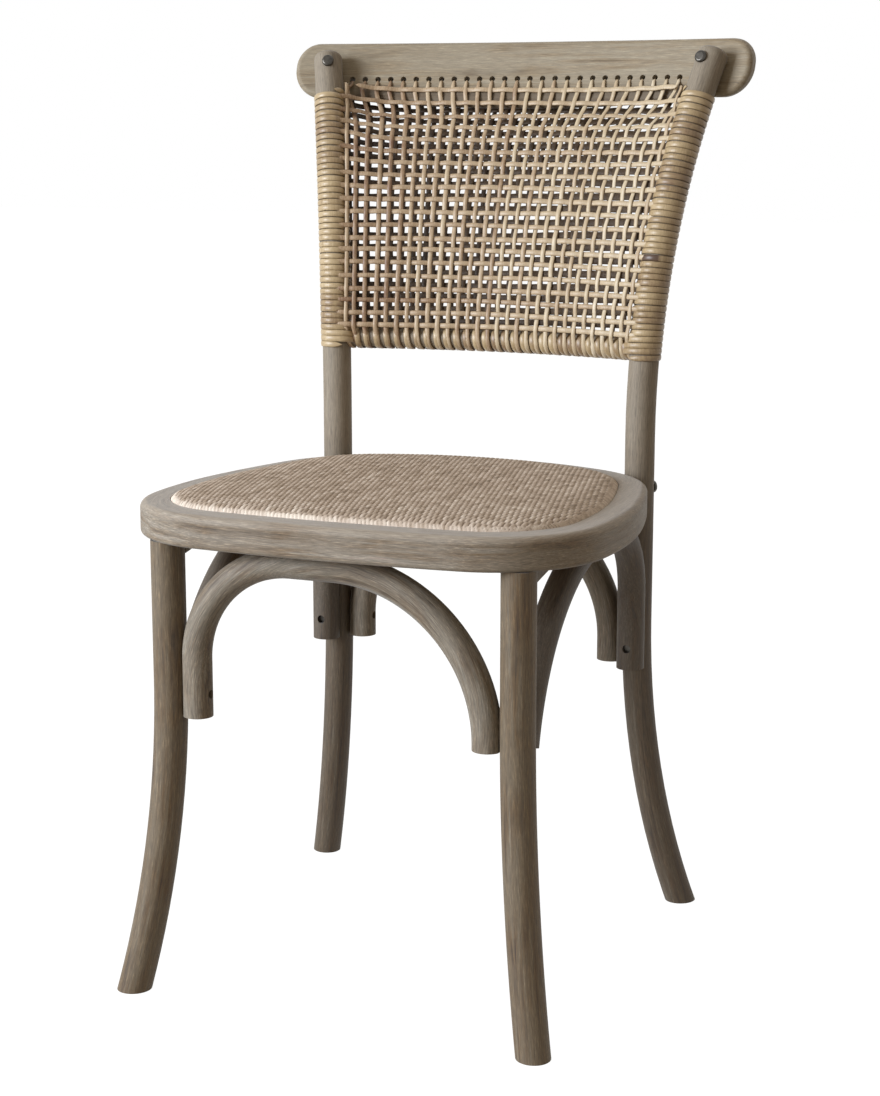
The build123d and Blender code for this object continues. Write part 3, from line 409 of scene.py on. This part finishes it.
def rail_binding(name):
    """Slanting turns round the lower rail, one between each two uprights."""
    ends = sheet_point(-1, UPRIGHT_PLACES, np.full(len(UPRIGHT_PLACES), RAIL_Z))[:, 0]
    rings = []
    for x in (ends[1:] + ends[:-1]) / 2:
        turns = np.linspace(0, 2.12 * math.pi, 25)
        xs = x + RAIL_SLANT * (turns / math.pi - 0.4)
        lean = -x / RAIL_BOW_RADIUS
        flat = np.array([-math.sin(lean), math.cos(lean), 0])
        around = np.cos(turns)[:, None] * flat + np.sin(turns)[:, None] * np.array([0, 0, 1])
        reach = RAIL_RADIUS + BINDING_CLEARANCE + BINDING_HALF_DEPTH
        line = np.stack([xs, rail_centre_y(xs), RAIL_Z + 0 * xs], axis=-1) + around * reach
        rings.append(reed(line, around, RAIL_BINDING_HALF_WIDTH * dice.uniform(0.95, 1.05),
                          BINDING_HALF_DEPTH, dice.uniform(*BINDING_TONES), BINDING_SQUARENESS))
    return gathered(name, rings)


# The seat ring's outline, as tangent arcs down one side
def ring_outline():
    tangent = np.array([1.0, 0.0])
    points = []
    last = np.array(RING_PLACES[0], float)
    for target in RING_PLACES[1:] + (None,):
        if target is None:
            turn_left = math.pi - math.atan2(tangent[1], tangent[0])
            target = (0, last[1] + last[0] * math.tan(turn_left / 2))
        chord = np.array(target, float) - last
        normal = np.array([-tangent[1], tangent[0]])
        swing = math.atan2(chord @ normal, chord @ tangent)
        radius = np.linalg.norm(chord) / (2 * math.sin(swing))
        angles = np.linspace(0, 2 * swing, 200)
        points.append(last + radius * (np.sin(angles)[:, None] * tangent
                                       + (1 - np.cos(angles))[:, None] * normal)[:-1])
        tangent = math.cos(2 * swing) * tangent + math.sin(2 * swing) * normal
        last = np.array(target, float)
    right = np.concatenate(points + [[last]])
    return np.concatenate([right, right[1:-1][::-1] * [-1, 1]]) * MM + [0, SEAT_Y]


# The seat: a crowned mat of narrow reeds that run front to back, over and under cross reeds
# that they hide, with a plaited border that turns down round its edge
SEAT_INSET = 28.6 * MM
STRAND_PITCH, STITCH_LENGTH, BORDER_PITCH = 2.6 * MM, 10.0 * MM, 3.9 * MM
STRAND_STEPS, STITCH_STEPS = 4, 6
GRAIN_HALF_WIDTH, GRAIN_HALF_LENGTH = 0.95, 0.64
BORDER_WIDTH, BORDER_LEAN = (3.5 * MM, 5.5 * MM), 9 * MM
PALE_BORDER_X = (110 * MM, -40 * MM)
CROWN_DEPTHS = np.array([0, 1.5, 3.5, 7, 13, 24, 45, 90, 170]) * MM
CROWN_RISES = np.array([0, 1.9, 3.6, 5.3, 6.9, 8.5, 9.8, 10.7, 11.0]) * MM
STITCH_HEIGHT, SEAT_SINK, HEM_DEPTH = 1.25 * MM, 0.3 * MM, 5 * MM


def stitches(x, y):
    """Each reed rises over every second cross reed, as a long grain between its neighbours'
    grains. Gives the height from 0 to 1, the reed's number and the grain's number on it."""
    relief, column, stitch = 0, 0, 0
    u, v = x / STRAND_PITCH, y / STITCH_LENGTH
    for beside in (-1, 0, 1):
        strand = np.floor(u) + beside
        run = v / 2 + strand % 2 / 2
        off_middle = (run - np.floor(run) - 0.5) * 2
        reach = ((u - strand - 0.5) / GRAIN_HALF_WIDTH) ** 2 + (off_middle / GRAIN_HALF_LENGTH) ** 2
        height = np.sqrt(np.clip(1 - reach, 0, 1))
        higher = height > relief
        column, stitch = np.where(higher, strand, column), np.where(higher, np.floor(run), stitch)
        relief = np.where(higher, height, relief)
    return relief, column.astype(int), stitch.astype(int)


def trim_and_hem(mat, outside):
    """Takes away the faces wholly outside the mat's edge, turns its rim down into the ring's
    rebate and closes it underneath."""
    mesh = bmesh.new()
    mesh.from_mesh(mat.data)
    gone = [face for face in mesh.faces if all(outside[corner.index] for corner in face.verts)]
    bmesh.ops.delete(mesh, geom=gone, context="FACES")
    rim = [line for line in mesh.edges if line.is_boundary]
    fold = bmesh.ops.extrude_edge_only(mesh, edges=rim)["geom"]
    for corner in fold:
        if isinstance(corner, bmesh.types.BMVert):
            corner.co.z = RING_TOP - HEM_DEPTH
    bmesh.ops.contextual_create(mesh, geom=[line for line in mesh.edges if line.is_boundary])
    bmesh.ops.recalc_face_normals(mesh, faces=mesh.faces)
    mesh.to_mesh(mat.data)
    mesh.free()


def seat_mat(name):
    outer = ring_outline()
    inward = unit(np.roll(outer, -1, axis=0) - np.roll(outer, 1, axis=0))
    inward = np.stack([-inward[:, 1], inward[:, 0]], axis=1)
    edge = outer + inward * SEAT_INSET
    length = np.concatenate([[0], np.cumsum(np.linalg.norm(np.diff(edge, axis=0), axis=1))])
    tree = KDTree(len(edge))
    for number, (x, y) in enumerate(edge):
        tree.insert((x, y, 0), number)
    tree.balance()
    low, high = edge.min(0), edge.max(0)
    step = np.array([STRAND_PITCH / STRAND_STEPS, STITCH_LENGTH / STITCH_STEPS])
    count = np.ceil((high - low) / step / 2).astype(int) * 2 + 2
    bpy.ops.mesh.primitive_grid_add(x_subdivisions=int(count[0]), y_subdivisions=int(count[1]), size=2)
    mat = bpy.context.active_object
    mat.name = name
    co = np.empty(len(mat.data.vertices) * 3)
    mat.data.vertices.foreach_get("co", co)
    co = co.reshape(-1, 3)
    co[:, :2] = co[:, :2] * count / 2 * step + [0, (low[1] + high[1]) / 2]
    nearest = np.array([tree.find((x, y, 0))[1] for x, y in co[:, :2]])
    inside = ((co[:, :2] - edge[nearest]) * inward[nearest]).sum(1)
    outside = inside < 0
    co[outside, :2] -= inward[nearest[outside]] * inside[outside, None]
    depth = np.maximum(inside, 0)
    relief, column, stitch = stitches(co[:, 0], co[:, 1])
    turn = length[nearest] / BORDER_PITCH + depth / BORDER_LEAN
    rib = np.abs(np.cos(math.pi * turn)) ** 0.6
    border = 1 - smooth_step(*BORDER_WIDTH, depth)
    relief = relief * (1 - border) + rib * border
    crown = np.interp(depth, CROWN_DEPTHS, CROWN_RISES)
    co[:, 2] = RING_TOP + crown + (relief - 1) * STITCH_HEIGHT - SEAT_SINK
    mat.data.vertices.foreach_set("co", co.ravel())
    # grains and reeds differ a little in shade, and the border is paler on the left
    shades = dice.uniform(0, 1, (1000, 1000))
    tone = shades[column + 200, stitch + 200] * 0.65 + shades[column + 200, 0] * 0.35
    pale_border = 0.45 * smooth_step(*PALE_BORDER_X, edge[nearest, 0])
    border_tone = 0.3 + pale_border + 0.6 * shades[0, np.floor(turn).astype(int) % 1000]
    give(mat.data, tone=tone * (1 - border) + border_tone * border, relief=relief)
    trim_and_hem(mat, outside)
    select_only(mat)
    bpy.ops.object.shade_smooth()
    return mat


# Materials
def linear(code):
    """An sRGB hex colour as linear red, green, blue and alpha."""
    parts = [int(code[k:k + 2], 16) / 255 for k in (1, 3, 5)]
    return [p / 12.92 if p <= 0.04045 else ((p + 0.055) / 1.055) ** 2.4 for p in parts] + [1.0]


def add(tree, kind, sources=(), output=0, stops=(), **settings):
    """Adds a shader node with its settings and gives back one of its outputs. sources holds a
    value or another node's output for its sockets, and stops a ramp's places and colours."""
    made = tree.nodes.new("ShaderNode" + kind)
    for key, value in settings.items():
        setattr(made, key, value)
    for key, value in sources.items() if isinstance(sources, dict) else enumerate(sources):
        if isinstance(value, bpy.types.NodeSocket):
            tree.links.new(value, made.inputs[key])
        else:
            made.inputs[key].default_value = value
    for number, (place, colour) in enumerate(stops):
        bar = made.color_ramp.elements
        element = bar[number] if number < 2 else bar.new(place)
        element.position, element.color = place, linear(colour)
    return made.outputs[output] if len(made.outputs) else made


def new_material(name):
    material = bpy.data.materials.new(name)
    material.use_nodes = True
    material.node_tree.nodes.clear()
    return material, material.node_tree


# The woods' grain is measured in mm
ARCH_MIDDLE_Z, ARCH_MEAN_RADIUS, RING_MEAN_RADIUS = 290, 135, 210
# Each bend: where it starts, whether it goes up or down, its radius and its heading
POLE_BENDS = {"leg": ((300, -1, 1050, 0.664, -0.748),),
              "post": ((310, -1, 840, 0.669, 0.743), (500, 1, 840, 0.5, 0.866))}


def grain_place(tree, way):
    """Object coordinates in mm, laid so that the last one runs along the wood's grain."""
    scaled = add(tree, "VectorMath", {0: add(tree, "TexCoord", output="Object"), "Scale": 1 / MM},
                 operation="SCALE")
    x, y, z = [add(tree, "SeparateXYZ", (scaled,), output=k) for k in range(3)]
    if way in ("ring", "arch_across", "arch_along"):
        first, second, middle, level, mean_radius = {
            "ring": (x, y, SEAT_Y / MM, z, -RING_MEAN_RADIUS),
            "arch_across": (x, z, ARCH_MIDDLE_Z, y, ARCH_MEAN_RADIUS),
            "arch_along": (y, z, ARCH_MIDDLE_Z, x, ARCH_MEAN_RADIUS)}[way]
        if way == "arch_along":
            first = add(tree, "Math", (first, SEAT_Y / MM), operation="SUBTRACT")
        second = add(tree, "Math", (second, middle), operation="SUBTRACT")
        out = add(tree, "VectorMath", (add(tree, "CombineXYZ", (first, second, 0.0)),),
                  output="Value", operation="LENGTH")
        if way == "ring":
            # the ring is squarer than a circle, so its grain follows the fourth powers
            squares = [add(tree, "Math", (each, each), operation="MULTIPLY") for each in (first, second)]
            out = add(tree, "VectorMath", (add(tree, "CombineXYZ", squares),),
                      output="Value", operation="LENGTH")
            out = add(tree, "Math", (out,), operation="SQRT")
            second = add(tree, "Math", (second, -1.0), operation="MULTIPLY")
        angle = add(tree, "Math", (first, second), operation="ARCTAN2")
        parts = (out, level, add(tree, "Math", (angle, mean_radius), operation="MULTIPLY"))
    elif way == "board":
        squared = add(tree, "Math", (x, x), operation="MULTIPLY")
        bow = add(tree, "Math", (squared, 2 * CREST_BOW / MM), operation="DIVIDE")
        parts = (add(tree, "Math", (y, bow), operation="ADD"), z, x)
    else:
        # the poles' bends are taken out, and the left one is moved so that it isn't a copy
        across, deep = add(tree, "Math", (x,), operation="ABSOLUTE"), y
        for start, sign, radius, to_x, to_y in POLE_BENDS[way]:
            past = add(tree, "Math", (z, start), operation="SUBTRACT")
            run = add(tree, "Math", (add(tree, "Math", (past, sign), operation="MULTIPLY"), 0.0),
                      operation="MAXIMUM")
            drift = add(tree, "Math", (add(tree, "Math", (run, run), operation="MULTIPLY"),
                                       2 * radius), operation="DIVIDE")
            across = add(tree, "Math", (drift, -to_x, across), operation="MULTIPLY_ADD")
            deep = add(tree, "Math", (drift, -to_y, deep), operation="MULTIPLY_ADD")
        side = add(tree, "Math", (x,), operation="SIGN")
        parts = (across, deep, add(tree, "Math", (side, 300.0, z), operation="MULTIPLY_ADD"))
    return add(tree, "CombineXYZ", parts), z


def weathered_wood(name, way, dark, brown, grey, pale, wear_and_light_band=None, contrast=0.72,
                   painted_shade_band=None):
    """Hardwood under a grey wash and wax: dull, with open pores and pale fibres in its grain."""
    material, tree = new_material(name)
    where, height = grain_place(tree, way)

    def grain(across_mm, along_mm, detail, roughness, distortion):
        scaled = add(tree, "VectorMath", (where, (1 / across_mm, 1 / across_mm, 1 / along_mm)),
                     operation="MULTIPLY")
        return add(tree, "TexNoise", {"Vector": scaled, "Scale": 1.0, "Detail": detail,
                                      "Roughness": roughness, "Distortion": distortion})

    fibre = grain(0.7, 13.0, 3.0, 0.7, 0.1)
    figure = grain(5.0, 110.0, 4.0, 0.6, 0.4)
    wash = grain(24.0, 60.0, 3.0, 0.55, 0.3)
    pores = grain(0.65, 8.0, 2.0, 0.5, 0.0)
    base = add(tree, "ValToRGB", (figure,), stops=((0.33, dark), (0.45, brown), (0.6, grey), (0.74, pale)))
    washed = add(tree, "MapRange", {"Value": wash, "From Min": 0.38, "From Max": 0.62, "To Max": 0.8})
    colour = add(tree, "Mix", {0: washed, 6: base, 7: linear(grey)}, output=2, data_type="RGBA")
    lines = add(tree, "ValToRGB", (fibre,), stops=((0.32, "#3A3A3A"), (0.47, "#7C7C7C"),
                                                   (0.56, "#8C8C8C"), (0.72, "#D0D0D0")))
    colour = add(tree, "Mix", {0: contrast, 6: colour, 7: lines}, output=2, data_type="RGBA",
                 blend_type="OVERLAY")
    pore_share = add(tree, "MapRange", {"Value": pores, "From Min": 0.30, "From Max": 0.41,
                                        "To Min": 0.28, "To Max": 0.0})
    colour = add(tree, "Mix", {0: pore_share, 6: colour, 7: linear(dark)}, output=2, data_type="RGBA")
    # paler towards the top of the given heights, following the fibres: wear together with painted light
    if wear_and_light_band:
        share = add(tree, "MapRange", {"Value": height, "From Min": wear_and_light_band[0],
                                       "From Max": wear_and_light_band[1], "To Max": 0.85})
        share = add(tree, "Math", (share, fibre), operation="MULTIPLY")
        colour = add(tree, "Mix", {0: share, 6: colour, 7: linear(pale)}, output=2, data_type="RGBA")
    if painted_shade_band:
        # painted shade: the board is darkened towards its lower edge behind the weave, between the posts
        share = add(tree, "MapRange", {"Value": height, "From Min": painted_shade_band[0],
                                       "From Max": painted_shade_band[1], "To Max": 0.68})
        beside = add(tree, "Math", (add(tree, "SeparateXYZ", (where,), output=2),),
                     operation="ABSOLUTE")
        between = add(tree, "MapRange", {"Value": beside, "From Min": 188.0, "From Max": 178.0})
        share = add(tree, "Math", (share, between), operation="MULTIPLY")
        colour = add(tree, "Mix", {0: share, 6: colour, 7: linear("#4A3824")}, output=2,
                     data_type="RGBA")
    bumps = add(tree, "Math", (pore_share, -0.9, fibre), operation="MULTIPLY_ADD")
    bump = add(tree, "Bump", {"Height": bumps, "Strength": 0.6, "Distance": 0.35 * MM})
    roughness = add(tree, "MapRange", {"Value": fibre, "To Min": 0.55, "To Max": 0.72})
    surface = add(tree, "BsdfPrincipled", {
        "Base Color": colour, "Roughness": roughness, "Normal": bump, "IOR": 1.5,
        "Sheen Weight": 0.26, "Sheen Roughness": 0.4, "Sheen Tint": linear("#BCC8D4")})
    add(tree, "OutputMaterial", {"Surface": surface})
    return material


def rattan(name, stops, line_mm, roughness, coat, mottle_mm=14.0):
    """Rattan: long parallel fibres, mottled along its length, satin where the skin is left on."""
    material, tree = new_material(name)
    tone, along, across = [add(tree, "Attribute", output="Fac", attribute_name=attribute)
                           for attribute in ("tone", "along", "across")]
    seed = add(tree, "Math", (tone, 977.0), operation="MULTIPLY")

    def noise(along_mm, lines, detail):
        run = add(tree, "Math", (along, along_mm * MM), operation="DIVIDE")
        beside = add(tree, "Math", (across, lines), operation="MULTIPLY")
        where = add(tree, "CombineXYZ", (run, beside, seed))
        return add(tree, "TexNoise", {"Vector": where, "Scale": 1.0, "Detail": detail, "Roughness": 0.6})

    mottle = noise(mottle_mm, 0.4, 3.0)
    fibre = noise(9.0, 2.2 / line_mm, 2.0)
    shade = add(tree, "Math", (mottle, 0.75, tone), operation="MULTIPLY_ADD")
    shade = add(tree, "Math", (fibre, 0.45, shade), operation="MULTIPLY_ADD")
    shade = add(tree, "Math", (shade, 0.6), operation="SUBTRACT")
    colour = add(tree, "ValToRGB", (shade,), stops=stops)
    # painted shade: the sides of a reed, where they turn away, are darkened towards its darkest colour
    middle = add(tree, "Math", (across,), operation="ABSOLUTE")
    reed_side_shade = add(tree, "MapRange", {"Value": middle, "From Min": 0.78, "From Max": 1.0, "To Max": 0.5})
    colour = add(tree, "Mix", {0: reed_side_shade, 6: colour, 7: linear(stops[0][1])}, output=2, data_type="RGBA")
    bump = add(tree, "Bump", {"Height": fibre, "Strength": 0.5, "Distance": 0.25 * MM})
    surface = add(tree, "BsdfPrincipled", {
        "Base Color": colour, "Roughness": roughness, "Normal": bump, "IOR": 1.5,
        "Coat Weight": coat, "Coat Roughness": 0.35})
    add(tree, "OutputMaterial", {"Surface": surface})
    return material


def seat_rattan(name):
    """Peeled rattan core, unvarnished: matt and fibrous, with painted shade down between the stitches."""
    material, tree = new_material(name)
    tone, relief = [add(tree, "Attribute", output="Fac", attribute_name=attribute)
                    for attribute in ("tone", "relief")]
    spot = add(tree, "TexCoord", output="Object")
    lengthways = add(tree, "VectorMath", (spot, (1 / 0.8 / MM, 1 / 7 / MM, 1 / 4 / MM)),
                     operation="MULTIPLY")
    fibre = add(tree, "TexNoise", {"Vector": lengthways, "Scale": 1.0, "Detail": 2.0})
    cloud = add(tree, "TexNoise", {"Vector": spot, "Scale": 14.0, "Detail": 3.0})
    shade = add(tree, "Math", (fibre, 0.6, add(tree, "Math", (tone, 0.6), operation="MULTIPLY")),
                operation="MULTIPLY_ADD")
    shade = add(tree, "Math", (cloud, 0.35, shade), operation="MULTIPLY_ADD")
    shade = add(tree, "Math", (shade, 0.28), operation="SUBTRACT")
    colour = add(tree, "ValToRGB", (shade,), stops=((0.08, "#80705F"), (0.34, "#B2A08C"),
                                                    (0.58, "#CBBBAA"), (0.9, "#E9DDCD")))
    # painted shade where the relief is low, down between the stitches
    low = add(tree, "MapRange", {"Value": relief, "From Min": 0.12, "From Max": 0.62,
                                 "To Min": 0.85, "To Max": 0.0})
    colour = add(tree, "Mix", {0: low, 6: colour, 7: linear("#665241")}, output=2, data_type="RGBA")
    bump = add(tree, "Bump", {"Height": fibre, "Strength": 0.5, "Distance": 0.3 * MM})
    surface = add(tree, "BsdfPrincipled", {
        "Base Color": colour, "Roughness": 0.7, "Normal": bump, "IOR": 1.5})
    add(tree, "OutputMaterial", {"Surface": surface})
    return material


def mottled(name, low, high, scale_mm, roughness, metallic=0.0, depth_mm=0.1):
    """A mottled surface, for the steel and the plywood."""
    material, tree = new_material(name)
    spot = add(tree, "VectorMath", (add(tree, "TexCoord", output="Object"),
                                    [1 / size / MM for size in scale_mm]), operation="MULTIPLY")
    mottle = add(tree, "TexNoise", {"Vector": spot, "Scale": 1.0, "Detail": 4.0})
    colour = add(tree, "ValToRGB", (mottle,), stops=((0.3, low), (0.7, high)))
    bump = add(tree, "Bump", {"Height": mottle, "Strength": 0.4, "Distance": depth_mm * MM})
    rough = add(tree, "MapRange", {"Value": mottle, "To Min": roughness - 0.08,
                                   "To Max": roughness + 0.08})
    surface = add(tree, "BsdfPrincipled", {
        "Base Color": colour, "Roughness": rough, "Normal": bump, "Metallic": metallic})
    add(tree, "OutputMaterial", {"Surface": surface})
    return material


# the ring's top edge is paler: partly wear, partly a painted highlight
ring_wood = weathered_wood("grey_washed_seat_ring", "ring", "#66543F", "#957F63", "#AA9E8C",
                           "#C8BDAD", (456.5, 464.5))
leg_wood = weathered_wood("grey_washed_legs", "leg", "#473422", "#7D6546", "#8C7C64", "#B0A594")
# the posts are painted paler above the seat as painted light, leaving them darker below it as painted
# shade
post_wood = weathered_wood("grey_washed_posts", "post", "#3F3021", "#66523B", "#736552", "#B5AA97",
                           (390, 500))
cross_arch_wood = weathered_wood("grey_washed_cross_arches", "arch_across", "#5A4B3B", "#93816A",
                                 "#A69C8B", "#C3BBAE")
side_arch_wood = weathered_wood("grey_washed_side_arches", "arch_along", "#3A2D20", "#62503C",
                                "#6E6253", "#887B6A")
# the board's lower edge behind the weave is darkened as painted shade
board_wood = weathered_wood("pale_washed_crest_board", "board", "#7C6B52", "#A39174", "#ACA089",
                            "#C4B89F", contrast=0.5, painted_shade_band=(849, 842))
# Split rattan skin: honey coloured, satin, with fine lines along each strand
binding = rattan("split_rattan_skin", ((0.05, "#4D3625"), (0.22, "#846B50"), (0.5, "#A48E6A"),
                                       (0.75, "#BAA580"), (1.0, "#CDBB96")), 0.6, 0.42, 0.25)
# Oval rattan reed: duller, from brown through tan to pale straw
weave = rattan("oval_rattan_reed", ((0.03, "#6B4A33"), (0.2, "#92775A"), (0.45, "#B49E80"),
                                    (0.75, "#C6B596"), (1.0, "#D9CBB2")), 0.7, 0.5, 0.12)
# The same reed behind, painted darker brown as painted shade, so that the gaps in front of it look deep
shade_painted_weave = rattan("rear_reed_painted_shade", ((0.03, "#2E2219"), (0.2, "#453527"), (0.45, "#5B4936"),
                                           (0.75, "#725E48"), (1.0, "#8A765C")), 0.7, 0.55, 0.05)
seat_finish = seat_rattan("woven_rattan_core")
# Blackened steel: dark and slightly oily, with a soft shine on its domed heads
steel = mottled("blackened_steel", "#3B3834", "#55514B", (5, 5, 5), 0.34, 0.9, 0.02)
# Birch plywood: pale plies with a straight grain from side to side
plywood = mottled("birch_plywood", "#B79B74", "#D2BC97", (60, 3, 3), 0.62)

FINISHES = (
    (ring_wood, "seat_ring"),
    (leg_wood, "front_leg_left", "front_leg_right", "corner_block_left", "corner_block_right"),
    (post_wood, "back_post_left", "back_post_right", "lower_back_rail"),
    (cross_arch_wood, "front_arch", "rear_arch"),
    (side_arch_wood, "left_arch", "right_arch"),
    (board_wood, "crest_rail"),
    (plywood, "seat_board"),
)
finish_of = {name: finish for finish, *names in FINISHES for name in names}
for name, node in nodes.items():
    node.data.materials.clear()
    node.data.materials.append(finish_of.get(name, steel))


def placed(piece, material, slot, *replaced):
    piece.data.materials.clear()
    piece.data.materials.append(material)
    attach(piece, "root")
    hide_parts(*replaced)
    return piece


placed(woven_layer("front_back_weave", -1), weave, "back_rattan", "front_weave")
placed(woven_layer("rear_back_weave", 1), shade_painted_weave, "back_rattan", "rear_weave")
placed(post_binding("post_binding_right", 1), binding, "wrap_rattan",
       "post_wrap_lower_right", "post_wrap_upper_right")
placed(post_binding("post_binding_left", -1), binding, "wrap_rattan",
       "post_wrap_lower_left", "post_wrap_upper_left")
placed(rail_binding("rail_binding"), binding, "wrap_rattan",
       "rail_wrap_left", "rail_wrap_middle", "rail_wrap_right")
seat = placed(seat_mat("woven_seat"), seat_finish, "seat_rattan", "seat_weave", "seat_padding")


# The photograph's camera, and a pale floor with soft light
PHOTO_HEIGHT, FOCAL_PIXELS, SENSOR = 1096, 2158.7, 36
CAMERA_PLACE = (819.35 * MM, -1930.26 * MM, 815.58 * MM)
CAMERA_WAY = Vector((-0.3808, 0.9037, -0.1958)).normalized()


def look_at_chair():
    right = CAMERA_WAY.cross(Vector((0, 0, 1))).normalized()
    camera = bpy.data.objects.new("camera", bpy.data.cameras.new("camera"))
    bpy.context.scene.collection.objects.link(camera)
    turn = Matrix((right, right.cross(CAMERA_WAY), -CAMERA_WAY)).transposed().to_4x4()
    camera.matrix_world = Matrix.Translation(CAMERA_PLACE) @ turn
    camera.data.sensor_width = SENSOR
    camera.data.lens = FOCAL_PIXELS / PHOTO_HEIGHT * SENSOR
    bpy.context.scene.camera = camera


def soft_light(name, place, target, size, watts, colour):
    lamp = bpy.data.objects.new(name, bpy.data.lights.new(name, "AREA"))
    lamp.data.size = size
    lamp.data.energy = watts
    lamp.data.color = colour
    lamp.location = place
    lamp.rotation_euler = (Vector(target) - Vector(place)).to_track_quat("-Z", "Y").to_euler()
    bpy.context.scene.collection.objects.link(lamp)


def seen_directly(tree):
    """1 where the camera looks at a surface, also through glass or in a mirror."""
    seen = add(tree, "Math", [add(tree, "LightPath", output=kind)
                              for kind in ("Is Camera Ray", "Is Glossy Ray")], operation="MAXIMUM")
    through = add(tree, "LightPath", output="Is Transmission Ray")
    return add(tree, "Math", (seen, through), operation="MAXIMUM")


FLOOR_SIZE, FLOOR_GLOW, GLOW_SHARE = 30, 1.15, 0.86
WORLD_STRENGTH = 0.31


def pale_floor():
    bpy.ops.object.select_all(action="DESELECT")
    bpy.ops.mesh.primitive_plane_add(size=FLOOR_SIZE, location=(0, 0, 0))
    floor = bpy.context.active_object
    floor.name = "floor"
    material, tree = new_material("pale_floor_paint")
    seen = seen_directly(tree)
    colour = add(tree, "Mix", {0: seen, 6: linear("#978A75"), 7: linear("#FAFAFA")}, output=2,
                 data_type="RGBA")
    surface = add(tree, "BsdfPrincipled", {"Base Color": colour, "Roughness": 0.9,
                                           "Specular IOR Level": 0.1})
    glow = add(tree, "Emission", {"Color": linear("#FFFFFF"), "Strength": FLOOR_GLOW})
    share = add(tree, "Math", (seen, GLOW_SHARE), operation="MULTIPLY")
    both = add(tree, "MixShader", (share, surface, glow))
    add(tree, "OutputMaterial", {"Surface": both})
    floor.data.materials.append(material)


def room_light():
    world = bpy.data.worlds.new("studio")
    bpy.context.scene.world = world
    world.use_nodes = True
    tree = world.node_tree
    tree.nodes.clear()
    seen = seen_directly(tree)
    strength = add(tree, "MapRange", {"Value": seen, "To Min": WORLD_STRENGTH, "To Max": 1.0})
    # the shaded sides get warm light thrown back by the room
    colour = add(tree, "Mix", {0: seen, 6: linear("#F6DDBE"), 7: linear("#FFFFFF")}, output=2,
                 data_type="RGBA")
    sky = add(tree, "Background", {"Strength": strength, "Color": colour})
    add(tree, "OutputWorld", {"Surface": sky})


look_at_chair()
# Name, place, target, size in metres, watts and colour: a cool window at the front left, and the
# little that comes from the right and from above
for lamp in (("window_light", (-2.5, -2.6, 1.55), (0, 0, 0.4), 1.7, 174, (0.94, 1, 1.1)),
             ("fill_light", (2.6, -1.6, 1.5), (0, 0, 0.5), 2.0, 0.5, (1, 1, 1)),
             ("top_light", (0.2, 0.4, 3.0), (0, 0, 0.4), 2.2, 7, (1, 1, 1))):
    soft_light(*lamp)
pale_floor()
room_light()
bpy.context.scene.view_settings.view_transform = "Standard"
